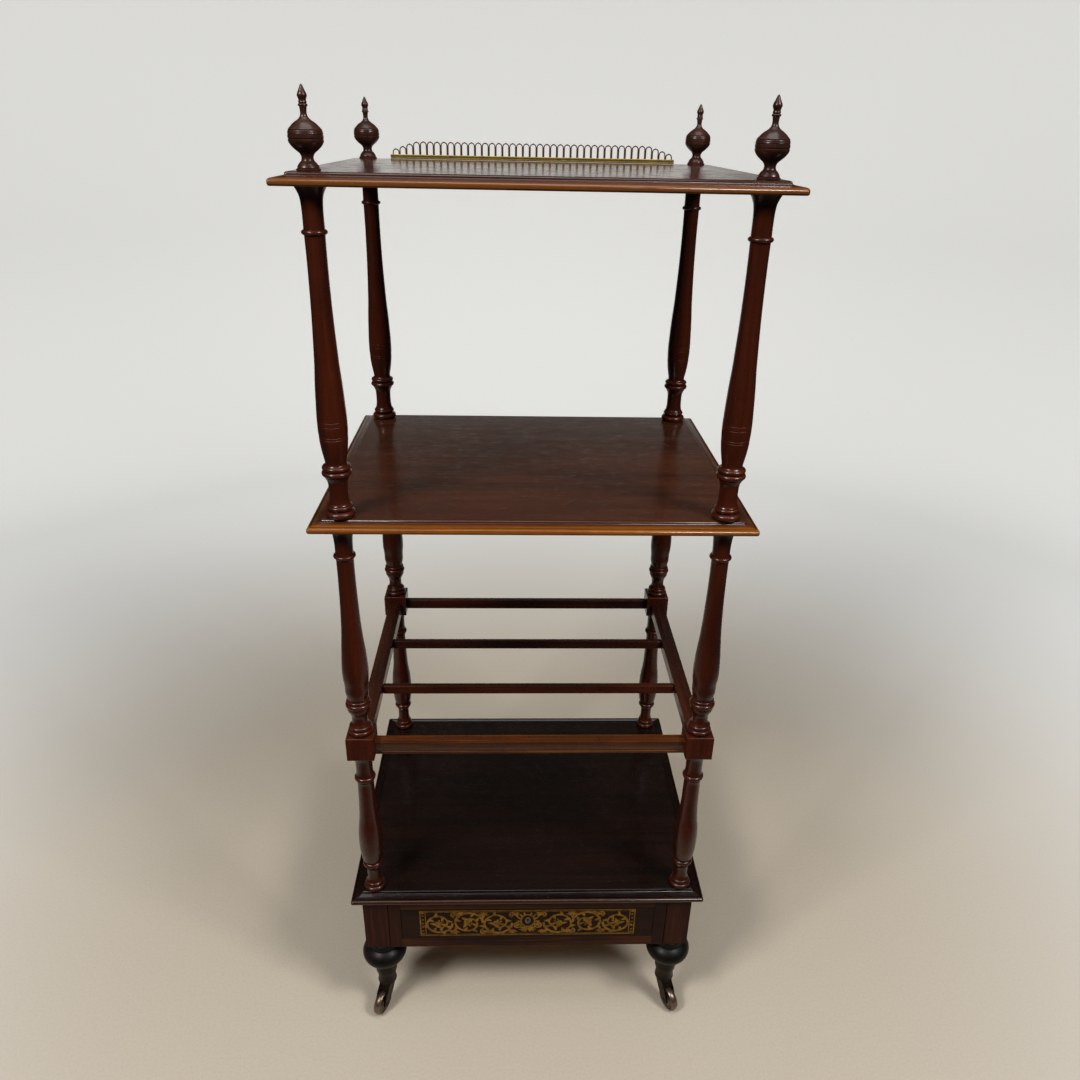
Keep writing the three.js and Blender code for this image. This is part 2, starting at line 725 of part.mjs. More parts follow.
function drawerFront() {
  const faceY = -caseY;
  const inlayX = inlayWidth / 2 + clearance;
  const recess = block(
    [-inlayX, faceY - cutOverrun, inlayFoot - clearance],
    [inlayX, faceY + inlayThickness, inlayHead + clearance],
  );
  const lapY = drawerFrontBackY - drawerLap - clearance;
  const lapX = drawerInnerX - clearance;
  const lapTop = drawerSideTop + clearance;
  const lap = block(
    [lapX, lapY, drawerBase - cutOverrun],
    [drawerX + cutOverrun, drawerFrontBackY + cutOverrun, lapTop],
  );
  const grooveLow = drawerBase + drawerBottomRise - clearance;
  const grooveHigh = grooveLow + drawerBottomThickness + 2 * clearance;
  const groove = block(
    [-drawerX - cutOverrun, drawerFrontBackY - drawerGrooveDepth, grooveLow],
    [drawerX + cutOverrun, drawerFrontBackY + cutOverrun, grooveHigh],
  );
  return block([-drawerX, faceY, drawerBase], [drawerX, drawerFrontBackY, drawerTop])
    .subtract(recess)
    .subtract(lap)
    .subtract(lap.mirror([1, 0, 0]))
    .subtract(groove)
    .subtract(lockBody(clearance))
    .subtract(keyhole(lockFrontY));
}

function drawerSide(x) {
  const grooveLow = drawerBase + drawerBottomRise - clearance;
  const grooveHigh = grooveLow + drawerBottomThickness + 2 * clearance;
  const right = block(
    [drawerInnerX, drawerFrontBackY - drawerLap, drawerBase],
    [drawerX, drawerEndY, drawerSideTop],
  ).subtract(block(
    [drawerInnerX - cutOverrun, drawerFrontBackY - drawerLap - cutOverrun, grooveLow],
    [drawerInnerX + drawerGrooveDepth, drawerEndY + cutOverrun, grooveHigh],
  ));
  return x < 0 ? right.mirror([1, 0, 0]) : right;
}

function drawerBack() {
  const low = drawerBase + drawerBottomRise + drawerBottomThickness;
  return block(
    [-drawerInnerX, drawerEndY - drawerBackThickness, low],
    [drawerInnerX, drawerEndY, drawerSideTop - drawerBackDrop],
  );
}

function drawerBottom() {
  const x = drawerInnerX + drawerGrooveDepth - clearance;
  const low = drawerBase + drawerBottomRise;
  const front = drawerFrontBackY - drawerGrooveDepth + clearance;
  return block([-x, front, low], [x, drawerEndY, low + drawerBottomThickness]);
}

function drawerInlay() {
  const faceY = -caseY;
  return block(
    [-inlayWidth / 2, faceY, inlayFoot],
    [inlayWidth / 2, faceY + inlayThickness, inlayHead],
  ).subtract(oval(clearance, faceY - cutOverrun, faceY + inlayThickness + cutOverrun));
}

function drawerEscutcheon() {
  const backY = -caseY + inlayThickness;
  return oval(0, -caseY - escutcheonProud, backY).subtract(keyhole(backY + cutOverrun));
}

function drawerLock() {
  return lockBody(0).subtract(lockSlot(clearance)).subtract(keyhole(lockFrontY + keyPocketDepth));
}

// Squat ball foot with a spigot for the castor cup and a dowel for the case
function foot() {
  const ballZ = footBase + footHeight - footBallDrop;
  const startRadius = cupRadius;
  const start = -Math.acos(startRadius / footBallRadius);
  const end = Math.acos(footCollarRadius / footBallRadius);
  const ball = Array.from({ length: footArcSteps + 1 }, (_, step) => {
    const turn = THREE.MathUtils.lerp(start, end, step / footArcSteps);
    return [footBallRadius * Math.cos(turn), ballZ + footBallHeight / 2 * Math.sin(turn)];
  });
  const spigotRadius = cupRadius - cupWall - clearance;
  const spigotFoot = cupRise + cupWebThickness + cupChamberHeight + clearance;
  const dowelEnd = caseBase + footDowelLength;
  return turned([
    [0, spigotFoot], [spigotRadius, spigotFoot], [spigotRadius, footBase], [startRadius, footBase], ...ball,
    [footCollarRadius, caseBase], [footDowelRadius, caseBase], [footDowelRadius, dowelEnd], [0, dowelEnd],
  ], metalSegments);
}

// Radius of a many-sided hole that clears a round bar
function freeRadius(radius, segments) {
  return (radius + spindlePlay) / Math.cos(Math.PI / segments);
}

function castorCup() {
  const hole = freeRadius(spindleRadius, metalSegments);
  const webTop = cupRise + cupWebThickness;
  const socketFloor = webTop + cupChamberHeight;
  const bandTop = cupRise + cupBandHeight;
  const bore = cupRadius - cupWall;
  return turned([
    [hole, cupRise], [cupBandRadius, cupRise], [cupBandRadius + cupRimBead, cupRise + cupRimBead],
    [cupBandRadius, cupRise + 2 * cupRimBead], [cupBandRadius, bandTop], [cupRadius, bandTop + cupRimBead],
    [cupRadius, footBase - 2 * cupRimBead], [cupRadius + cupRimBead, footBase - cupRimBead],
    [cupRadius, footBase], [bore, footBase], [bore, socketFloor],
    [cupChamberRadius, socketFloor], [cupChamberRadius, webTop], [hole, webTop], [hole, cupRise],
  ], metalSegments);
}

// Horn with its spindle and axle, trailing towards +X from the spindle's axis
function castorFork() {
  const crownTop = cupRise - clearance;
  const crownFoot = crownTop - forkCrownHeight;
  const drop = crownFoot - wheelRadius;
  const boss = Array.from({ length: beadSteps + 1 }, (_, step) => {
    const turn = Math.PI * (0.1 - step / beadSteps);
    return [castorTrail + forkBossRadius * Math.cos(turn), wheelRadius + forkBossRadius * Math.sin(turn)];
  });
  const [backShare, crownBackShare, frontShare, kneeShare, heelShare] = forkWaistShares;
  const at = ([acrossShare, dropShare]) => [acrossShare * forkCrownRadius, crownFoot - dropShare * drop];
  const outline = [backShare, crownBackShare, frontShare, kneeShare].map(at);
  const horn = solid(plankAlongY(shapeOf([...outline, ...boss, at(heelShare)]), forkWidth));
  const slotHalf = wheelWidth / 2 + forkSideGap;
  const slotRadius = wheelRadius + wheelHeadroom;
  const slot = bar(slotRadius, 2 * slotHalf, [castorTrail, -wheelRadius, -slotHalf], wheelSegments)
    .rotate([-90, 0, 0]);
  const axle = bar(axleRadius, forkWidth, [castorTrail, -wheelRadius, -forkWidth / 2], metalSegments)
    .rotate([-90, 0, 0]);
  const headFoot = cupRise + cupWebThickness + clearance;
  const spindle = turned([
    [0, crownFoot - clearance], [forkCrownRadius, crownFoot - clearance], [forkCrownRadius, crownTop],
    [spindleRadius, crownTop], [spindleRadius, headFoot], [spindleHeadRadius, headFoot],
    [spindleHeadRadius, headFoot + spindleHeadHeight], [0, headFoot + spindleHeadHeight],
  ], metalSegments);
  return horn.add(spindle).subtract(slot).add(axle);
}

// Wheel about its own axle along Y, turned so that a flat of its tread is at the bottom
function castorWheel() {
  const tread = wheelRadius / Math.cos(Math.PI / wheelSegments);
  const hole = freeRadius(axleRadius, wheelSegments);
  const half = wheelWidth / 2;
  const outline = [
    [hole, -half], [tread - wheelShoulder, -half], [tread, -treadWidth / 2], [tread, treadWidth / 2],
    [tread - wheelShoulder, half], [hole, half], [hole, -half],
  ].map(([radius, across]) => new THREE.Vector2(radius, across));
  return solid(new THREE.LatheGeometry(outline, wheelSegments).rotateY(Math.PI / wheelSegments));
}

// One named mesh with a material of its own
function piece(name, geometry, finish, [x, y, z] = [0, 0, 0]) {
  const material = new THREE.MeshStandardMaterial({ ...finishes[finish], flatShading: true });
  const mesh = new THREE.Mesh(geometry, material);
  mesh.name = name;
  mesh.position.set(x, y, z);
  return mesh;
}

const etagere = new THREE.Group();

// Shelves, posts and finials
etagere.add(piece('bottom_shelf', geometryOf(bottomShelf()), 'mahogany', [0, 0, bottomShelfBase]));
etagere.add(piece('middle_shelf', geometryOf(middleShelf()), 'mahogany', [0, 0, middleShelfBase]));
etagere.add(piece('top_shelf', geometryOf(topShelf()), 'mahogany', [0, 0, topShelfBase]));
etagere.add(piece('gallery', geometryOf(gallery()), 'galleryBrass', [0, postY, finialBase]));
const upperPostGeometry = geometryOf(upperPost());
const finialGeometry = geometryOf(finial());
for (const { tag, x, y } of corners) {
  const stand = new THREE.Group();
  stand.position.set(x * postX, y * postY, 0);
  stand.add(
    piece(`lower_post_${tag}`, geometryOf(lowerPost(x, y)), 'mahogany', [0, 0, lowerPostBase]),
    piece(`upper_post_${tag}`, upperPostGeometry, 'mahogany', [0, 0, upperPostBase]),
    piece(`finial_${tag}`, finialGeometry, 'mahogany', [0, 0, finialBase]),
  );
  etagere.add(stand);
}

// Magazine rack
etagere.add(
  piece('rack_front_rail', geometryOf(frontRail()), 'mahogany', [0, -postY, rackTop - frontRailHeight]),
  piece('rack_back_rail', geometryOf(backRail()), 'mahogany', [0, postY, rackTop - backRailHeight]),
);
for (const { tag, x } of sides) {
  const place = [x * postX, 0, rackTop - sideRailHeight];
  etagere.add(piece(`rack_side_rail_${tag}`, geometryOf(sideRail(x)), 'mahogany', place));
}
const slatGeometry = geometryOf(slat());
for (const [tag, y] of [['front', -slatSpacing / 2], ['back', slatSpacing / 2]]) {
  etagere.add(piece(`rack_slat_${tag}`, slatGeometry, 'mahogany', [0, y, rackTop - slatSink - slatHeight]));
}

// Case
for (const { tag, x, y } of corners) {
  const place = [x * postX, y * postY, caseBase];
  etagere.add(piece(`case_corner_${tag}`, geometryOf(caseCorner(x, y)), 'mahogany', place));
}
const sideWallGeometry = geometryOf(caseWall(innerY));
for (const { tag, x } of sides) {
  const wall = piece(`case_side_${tag}`, sideWallGeometry, 'mahogany', [0, 0, caseBase]);
  wall.position.x = x * (wallInnerX + caseWallThickness / 2);
  wall.rotation.z = Math.PI / 2;
  etagere.add(wall);
  etagere.add(piece(`case_stile_${tag}`, geometryOf(caseStile(x)), 'mahogany', [0, 0, caseBase]));
  etagere.add(piece(`drawer_runner_${tag}`, geometryOf(drawerRunner(x)), 'drawerWood'));
  etagere.add(piece(`drawer_side_${tag}`, geometryOf(drawerSide(x)), 'drawerWood'));
}
const backWallPlace = [0, wallInnerY + caseWallThickness / 2, caseBase];
etagere.add(
  piece('case_back', geometryOf(caseWall(innerX)), 'mahogany', backWallPlace),
  piece('case_top_rail', geometryOf(caseTopRail()), 'mahogany', [0, 0, bottomShelfBase - topRailHeight]),
  piece('case_bottom_rail', geometryOf(caseBottomRail()), 'mahogany', [0, 0, caseBase]),
);

// Drawer
etagere.add(
  piece('drawer_front', geometryOf(drawerFront()), 'mahogany'),
  piece('drawer_inlay', geometryOf(drawerInlay()), 'inlay'),
  piece('drawer_escutcheon', geometryOf(drawerEscutcheon()), 'lockMetal'),
  piece('drawer_back', geometryOf(drawerBack()), 'drawerWood'),
  piece('drawer_bottom', geometryOf(drawerBottom()), 'drawerWood'),
  piece('drawer_lock', geometryOf(drawerLock()), 'lockMetal'),
  piece('lock_bolt', geometryOf(lockSlot(0)), 'lockMetal'),
);

// Feet and castors
const footGeometry = geometryOf(foot());
const cupGeometry = geometryOf(castorCup());
const forkGeometry = geometryOf(castorFork());
const wheelGeometry = geometryOf(castorWheel());
for (const { tag, x, y } of corners) {
  const leg = new THREE.Group();
  leg.position.set(x * (postX - footInset), y * (postY - footInset), 0);
  const castor = new THREE.Group();
  castor.rotation.z = -Math.PI / 2 + x * castorToe;
  castor.add(
    piece(`castor_fork_${tag}`, forkGeometry, 'castorBrass'),
    piece(`castor_wheel_${tag}`, wheelGeometry, 'wheel', [castorTrail, 0, wheelRadius]),
  );
  leg.add(
    piece(`foot_${tag}`, footGeometry, 'ebonised'),
    piece(`castor_cup_${tag}`, cupGeometry, 'castorBrass'),
    castor,
  );
  etagere.add(leg);
}

export default etagere;
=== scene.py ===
import itertools
import math

import bmesh
import bpy
from mathutils import Matrix, Vector


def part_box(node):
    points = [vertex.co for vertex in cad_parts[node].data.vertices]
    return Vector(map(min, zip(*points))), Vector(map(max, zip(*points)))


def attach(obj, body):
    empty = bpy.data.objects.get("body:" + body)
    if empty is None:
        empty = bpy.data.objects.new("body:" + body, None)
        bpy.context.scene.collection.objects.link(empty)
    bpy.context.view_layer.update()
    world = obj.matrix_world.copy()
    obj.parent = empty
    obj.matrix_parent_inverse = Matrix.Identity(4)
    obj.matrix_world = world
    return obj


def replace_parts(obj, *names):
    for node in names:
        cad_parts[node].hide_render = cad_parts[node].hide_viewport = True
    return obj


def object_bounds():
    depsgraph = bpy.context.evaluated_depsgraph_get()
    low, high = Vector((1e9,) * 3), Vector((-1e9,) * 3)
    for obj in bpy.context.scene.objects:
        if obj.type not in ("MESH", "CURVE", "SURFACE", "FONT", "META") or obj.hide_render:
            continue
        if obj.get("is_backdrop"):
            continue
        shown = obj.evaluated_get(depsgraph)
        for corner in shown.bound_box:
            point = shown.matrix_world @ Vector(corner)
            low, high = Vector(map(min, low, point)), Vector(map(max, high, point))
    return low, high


# A three-tier mahogany whatnot with a magazine rack, one drawer and castors, put together from the
# floor up. Sizes are in metres; mm turns a size in millimetres into metres. The front faces -Y.
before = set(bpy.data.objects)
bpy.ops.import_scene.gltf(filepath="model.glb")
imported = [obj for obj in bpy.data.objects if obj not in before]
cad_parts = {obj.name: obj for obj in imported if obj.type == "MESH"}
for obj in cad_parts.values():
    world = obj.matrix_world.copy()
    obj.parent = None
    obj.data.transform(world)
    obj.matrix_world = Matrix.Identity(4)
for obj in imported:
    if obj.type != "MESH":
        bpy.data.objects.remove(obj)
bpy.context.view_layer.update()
mm = 0.001
corners = {"fl": (-1, -1), "fr": (1, -1), "bl": (-1, 1), "br": (1, 1)}
sides = {"l": -1, "r": 1}


# Castor wheels: four small wheels of cast brass, turned with a barrelled tread and a raised hub.
# Each runs on the pin of its horn, and its faces have lost their lacquer.
class Field:
    """A value that varies over a surface; sums and products of fields add their Math nodes."""

    def __init__(self, finish, socket):
        self.finish = finish
        self.socket = socket

    def math(self, operation, first, second=0.0):
        return self.finish.node("ShaderNodeMath", {"operation": operation}, {0: first, 1: second})

    def __add__(self, other):
        return self.math("ADD", self, other)

    def __radd__(self, other):
        return self.math("ADD", other, self)

    def __sub__(self, other):
        return self.math("SUBTRACT", self, other)

    def __rsub__(self, other):
        return self.math("SUBTRACT", other, self)

    def __mul__(self, other):
        return self.math("MULTIPLY", self, other)

    def __rmul__(self, other):
        return self.math("MULTIPLY", other, self)

    def __abs__(self):
        return self.math("ABSOLUTE", self)

    def over(self, start, end):
        """0 below start, 1 above end, and eased between them."""
        ends = {0: self, 1: start, 2: end}
        return self.finish.node("ShaderNodeMapRange", {"interpolation_type": "SMOOTHSTEP"}, ends)


class Finish:
    """A material in the making, around one Principled shader."""

    def __init__(self, name, **constants):
        self.material = bpy.data.materials.new(name)
        self.material.use_nodes = True
        self.tree = self.material.node_tree
        self.shader = self.tree.nodes["Principled BSDF"]
        for socket, value in constants.items():
            self.shader.inputs[socket.replace("_", " ")].default_value = value
        self.place = self.node("ShaderNodeTexCoord", output="Object")

    def node(self, kind, settings=None, inputs=None, output=0):
        """Adds one node: its settings first, then the values or links of its sockets."""
        node = self.tree.nodes.new(kind)
        for setting, value in (settings or {}).items():
            setattr(node, setting, value)
        self.feed(node, inputs or {})
        return Field(self, node.outputs[output])

    def feed(self, node, inputs):
        for socket, value in inputs.items():
            if isinstance(value, Field):
                self.tree.links.new(value.socket, node.inputs[socket])
            else:
                node.inputs[socket].default_value = value

    def noise(self, scale, stretch=(1, 1, 1), detail=3.0, roughness=0.55, distortion=0.0,
              shift=(0, 0, 0)):
        """Noise of about 0 to 1, with this many features to the metre, drawn out where stretch is
        small."""
        mapped = {"Vector": self.place, "Location": shift, "Scale": [scale * share for share in stretch]}
        place = self.node("ShaderNodeMapping", {}, mapped)
        sockets = {"Vector": place, "Scale": 1.0, "Detail": detail, "Roughness": roughness,
                   "Distortion": distortion}
        return self.node("ShaderNodeTexNoise", {}, sockets)

    def specks(self, scale, size):
        """1 inside round specks of this share of their spacing, and 0 elsewhere."""
        distance = self.node("ShaderNodeTexVoronoi", {}, {"Vector": self.place, "Scale": scale})
        return 1 - distance.over(0.6 * size, size)

    def mix(self, share, first, second):
        sockets = {"Factor": share, 6: first, 7: second}
        return self.node("ShaderNodeMix", {"data_type": "RGBA"}, sockets, output=2)

    def along(self, axis):
        """The place on the piece along X, Y or Z."""
        return self.node("ShaderNodeSeparateXYZ", {}, {0: self.place}, output=axis)

    def crests(self, low=0.5, high=0.56):
        """1 on the crests of the form, where hands and dusters wear it."""
        return self.node("ShaderNodeNewGeometry", output="Pointiness").over(low, high)

    def hollows(self, low=0.42, high=0.49):
        """1 in the hollows of the form."""
        return 1 - self.node("ShaderNodeNewGeometry", output="Pointiness").over(low, high)

    def bump(self, height, distance, strength=1.0):
        sockets = {"Height": height, "Distance": distance, "Strength": strength}
        return self.node("ShaderNodeBump", {}, sockets)

    def finished(self, **sockets):
        """Feeds what varies to the shader and gives the material."""
        self.feed(self.shader, {socket.replace("_", " "): value for socket, value in sockets.items()})
        return self.material


def tone(red, green, blue):
    """A colour as the eye sees it, each part from 0 to 255, in the shader's linear light."""
    parts = [part / 255 for part in (red, green, blue)]
    return [p / 12.92 if p < 0.04045 else ((p + 0.055) / 1.055) ** 2.4 for p in parts] + [1.0]


def aged_brass(name, clean, tarnished, dirt, roughness, bare):
    """Brass with cloudy tarnish, dirt in its hollows and rubbed crests."""
    brass = Finish(name, Specular_IOR_Level=0.5)
    cloud = brass.noise(90, detail=5.0, roughness=0.65)
    pits = brass.noise(900, detail=3.0, roughness=0.7)
    rub = brass.crests() * bare
    colour = brass.mix(cloud.over(0.35, 0.68), clean, tarnished)
    colour = brass.mix(pits.over(0.55, 0.7) * 0.55, colour, dirt)
    colour = brass.mix(brass.hollows() * 0.8, colour, dirt)
    colour = brass.mix(rub, colour, clean)
    return brass.finished(
        Base_Color=colour,
        Metallic=0.92 - pits.over(0.52, 0.72) * 0.5,
        Roughness=roughness + cloud * 0.18 - rub * 0.12,
        Normal=brass.bump(pits + cloud * 0.6, 0.12 * mm, 0.5),
    )


def eased(points, steps):
    """Points of one smooth curve through the given points, in this many steps between each two."""
    ends = [points[0], *points, points[-1]]
    curve = []
    for before, start, end, after in zip(ends, ends[1:], ends[2:], ends[3:]):
        leave = [(b - a) / 2 for a, b in zip(before, end)]
        arrive = [(b - a) / 2 for a, b in zip(start, after)]
        for step in range(steps):
            t = step / steps
            shares = (2 * t**3 - 3 * t**2 + 1, t**3 - 2 * t**2 + t, 3 * t**2 - 2 * t**3, t**3 - t**2)
            curve.append(tuple(
                sum(share * part for share, part in zip(shares, parts))
                for parts in zip(start, leave, end, arrive)
            ))
    return curve + [points[-1]]


def outline(stations, steps=3, bead_steps=8):
    """Turner's outline from (height, radius) in millimetres. Plain stations in a row are eased into one
    curve. A third number makes a half-round bead of that height, or a scored line if it is negative."""
    points = []
    for scored, run in itertools.groupby(stations, key=lambda station: len(station) > 2):
        run = list(run)
        if not scored:
            points += eased(run, steps) if len(run) > 1 else run
            continue
        for height, radius, size in run:
            if size < 0:
                points += [(height + size / 2, radius), (height, radius + size / 2)]
                points.append((height - size / 2, radius))
                continue
            for step in range(bead_steps + 1):
                turn = math.pi * (step / bead_steps - 0.5)
                sweep = size / 2
                points.append((height + sweep * math.sin(turn), radius - sweep * (1 - math.cos(turn))))
    return points


def turned(points, steps=40, closed=False):
    """Turns an outline of (height, radius) in millimetres about Z."""
    form = bmesh.new()
    chain = [form.verts.new((radius * mm, 0, height * mm)) for height, radius in points]
    pairs = list(zip(chain, chain[1:]))
    if closed:
        pairs.append((chain[-1], chain[0]))
    edges = [form.edges.new(pair) for pair in pairs]
    bmesh.ops.spin(
        form, geom=chain + edges, cent=(0, 0, 0), axis=(0, 0, 1), angle=2 * math.pi, steps=steps,
        use_merge=True,
    )
    bmesh.ops.remove_doubles(form, verts=form.verts, dist=0.002 * mm)
    bmesh.ops.recalc_face_normals(form, faces=form.faces)
    return form


def placed(form, *moves):
    """Turns and shifts a form by the given matrices, the last one first."""
    for move in reversed(moves):
        bmesh.ops.transform(form, matrix=move, verts=form.verts)
    return form


def joined(*forms):
    """Gathers forms into one."""
    whole = bmesh.new()
    for form in forms:
        part = bpy.data.meshes.new("part")
        form.to_mesh(part)
        form.free()
        whole.from_mesh(part)
        bpy.data.meshes.remove(part)
    return whole


def broad(face):
    """Whether a face is a flat of some size that lies square to an axis."""
    return face.calc_area() > 60 * mm * mm and max(abs(part) for part in face.normal) > 0.9999


def fitted(name, form, material, slot, body, *nodes):
    """Names a finished piece, gives it its finish and fixes it to what carries it. A broad flat stays
    flat up to its border, and rounded arrises are shaded smooth."""
    level = 3
    crease = 32
    for edge in form.edges:
        areas = [face.calc_area() for face in edge.link_faces]
        turn = math.degrees(edge.calc_face_angle(0))
        flat = any(broad(face) for face in edge.link_faces) or max(areas) > 12 * min(areas)
        edge.smooth = turn < level or (turn < crease and not flat)
    for face in form.faces:
        face.smooth = True
    mesh = bpy.data.meshes.new(name)
    form.to_mesh(mesh)
    form.free()
    mesh.materials.append(material)
    piece = bpy.data.objects.new(name, mesh)
    bpy.context.collection.objects.link(piece)
    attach(piece, body)
    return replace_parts(piece, *nodes)


cup_low, cup_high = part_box("castor_cup_fr")
foot_x = (cup_low.x + cup_high.x) / 2
foot_y = -(cup_low.y + cup_high.y) / 2
wheel_radius = 20
castor_trail = 18
castor_toe = math.radians(27)
wheel_half = [
    (6, 2.7), (6, 6.4), (5.6, 7.4), (4.4, 8.4), (4.1, 13.2), (4.7, 15.8), (5.3, 17), (5, 18.3), (4, 19.2),
    (2.1, 19.85), (0, wheel_radius),
]
wheel_outline = wheel_half + [(-height, radius) for height, radius in reversed(wheel_half[:-1])]
wheel_brass = aged_brass(
    "worn wheel brass", tone(126, 108, 92), tone(56, 42, 31), tone(20, 14, 11), roughness=0.32, bare=0.9,
)
axle = Matrix.Translation((castor_trail * mm, 0, wheel_radius * mm))
upright = Matrix.Rotation(math.pi / 2, 4, "X")
foot_places = {
    tag: Matrix.Translation((x * foot_x, y * foot_y, 0)) for tag, (x, y) in corners.items()
}
castor_places = {
    tag: foot_places[tag] @ Matrix.Rotation(x * castor_toe - math.pi / 2, 4, "Z")
    for tag, (x, y) in corners.items()
}
for tag, place in castor_places.items():
    wheel = placed(turned(wheel_outline, steps=36, closed=True), place, axle, upright)
    node = f"castor_wheel_{tag}"
    fitted(f"tread_wheel_{tag}", wheel, wheel_brass, "castor_wheel", f"wheel_{tag}", node)


# Castor horns: a cast brass fork whose cheeks sweep back from a round crown to the wheel's pin.
# The pin is riveted over on both cheeks, and the crown turns on a spindle in the cup above.
def arc(centre, radius, start, end, steps):
    """Points of an arc between two bearings in degrees."""
    turns = [math.radians(start + (end - start) * step / steps) for step in range(steps + 1)]
    return [(centre[0] + radius * math.cos(turn), centre[1] + radius * math.sin(turn)) for turn in turns]


def drawn_out(form, faces, way):
    """Extrudes faces by a vector in metres and turns all faces outwards."""
    grown = bmesh.ops.extrude_face_region(form, geom=faces)["geom"]
    far = [part for part in grown if isinstance(part, bmesh.types.BMVert)]
    bmesh.ops.translate(form, verts=far, vec=way)
    bmesh.ops.recalc_face_normals(form, faces=form.faces)


def rounded(form, parts, radius, segments, affect="EDGES"):
    """Rounds edges or corners to a radius in millimetres."""
    bmesh.ops.bevel(
        form, geom=parts, offset=radius * mm, segments=segments, profile=0.5, affect=affect,
        clamp_overlap=True, material=-1,
    )


def plate(points, thickness, arris):
    """Plate about y = 0 with the given outline in X and Z, in millimetres, and eased arrises."""
    form = bmesh.new()
    face = form.faces.new([form.verts.new((x * mm, -thickness / 2 * mm, z * mm)) for x, z in points])
    drawn_out(form, [face], (0, thickness * mm, 0))
    if arris:
        rim = [
            edge for edge in form.edges
            if any(abs(face.normal.y) > 0.99 for face in edge.link_faces)
        ]
        rounded(form, rim, arris, 2)
    return form


crown_radius = 11.5
crown_foot = 52.7
crown_top = 57.7
horn_width = 19
cheek_thickness = 2.8
pin = (castor_trail, wheel_radius)
horn_front = eased([(9.2, crown_foot), (12.4, 46.4), (17.2, 39.6), (21.4, 31.4), (24.3, 23.1)], 4)
horn_back = eased([(12.6, 15.5), (6.3, 25), (0.5, 33.2), (-4.6, 42), (-9.2, crown_foot)], 4)
cheek_outline = horn_front + arc(pin, 7, 20, -140, 9) + horn_back[1:]
web_outline = [(8.8, crown_foot)] + arc(pin, 22, 100, 142, 6) + [(-4.6, 42), (-9.2, crown_foot)]
crown_outline = [
    (crown_foot - 1.2, 0), (crown_foot - 1.2, crown_radius - 1.4), (crown_foot, crown_radius),
    (crown_foot + 2.2, crown_radius), (crown_foot + 3, crown_radius - 0.7),
    (crown_top - 1, crown_radius - 1.2), (crown_top, crown_radius - 2.4), (crown_top, 4),
    (crown_top + 2, 4), (crown_top + 2, 0),
]
rivet_outline = [(0, 3.4), (0.4, 3.3), (0.7, 2.6), (0.85, 1.4), (0.9, 0)]
castor_brass = aged_brass(
    "castor brass", tone(38, 28, 18), tone(21, 15, 10), tone(10, 7, 5), roughness=0.36, bare=0.5,
)
for tag, place in castor_places.items():
    horn = [placed(turned(crown_outline, steps=32), place)]
    horn.append(placed(plate(web_outline, horn_width - 2 * cheek_thickness, 0), place))
    for side in (-1, 1):
        cheek = Matrix.Translation((0, side * (horn_width - cheek_thickness) / 2 * mm, 0))
        horn.append(placed(plate(cheek_outline, cheek_thickness, 0.7), place, cheek))
        rivet = Matrix.Translation((0, side * horn_width / 2 * mm, 0))
        quarter = Matrix.Rotation(-side * math.pi / 2, 4, "X")
        horn.append(placed(turned(rivet_outline, steps=16), place, axle, rivet, quarter))
    horn = joined(*horn)
    fitted(f"cast_horn_{tag}", horn, castor_brass, "castor_brass", f"horn_{tag}", f"castor_fork_{tag}")


# Castor cups: spun brass sockets pushed over the ends of the feet, with a rolled rim at the top and a
# narrower band below, where the crown of the horn runs.
cup_outline = [
    (58, 4.3), (58, 14.3), (58.8, 15, 1.6), (59.8, 14.3), (62, 14.1), (78.6, 14.1), (80.4, 14.5),
    (81.4, 15.4), (82.2, 16.4), (84, 16.6), (92, 16.3), (100, 16.3), (103.4, 16.5), (104.8, 17.4, 2.2),
    (106, 16.4), (106, 13),
]
for tag, place in foot_places.items():
    cup = placed(turned(outline(cup_outline, steps=1)), place)
    fitted(f"spun_cup_{tag}", cup, castor_brass, "castor_brass", "frame", f"castor_cup_{tag}")


# Feet: squat beech balls turned with a neck and a collar, stained black and polished. The stain is
# clouded, with grey wax in its grain and brown scuffs where it has rubbed thin.
def ebonised(name):
    """Black stained wood with a greyish waxy bloom and brown where the stain has gone."""
    wood = Finish(name, Coat_Roughness=0.3, Specular_IOR_Level=0.14)
    cloud = wood.noise(38, detail=4.0, roughness=0.6)
    grain = wood.noise(420, stretch=(1, 1, 0.06), detail=3.0)
    scuffs = wood.noise(260, stretch=(1, 1, 0.5), detail=4.0, roughness=0.75)
    colour = wood.mix(cloud.over(0.4, 0.72), tone(10, 7, 5), tone(20, 17, 14))
    colour = wood.mix(grain.over(0.5, 0.75) * 0.3, colour, tone(32, 26, 22))
    colour = wood.mix(scuffs.over(0.62, 0.72) * 0.4, colour, tone(56, 36, 26))
    return wood.finished(
        Base_Color=colour,
        Roughness=0.36 + cloud * 0.2 + scuffs.over(0.55, 0.7) * 0.15,
        Coat_Weight=0.1 - cloud.over(0.4, 0.8) * 0.08,
        Normal=wood.bump(grain + scuffs, 0.08 * mm, 0.5),
    )


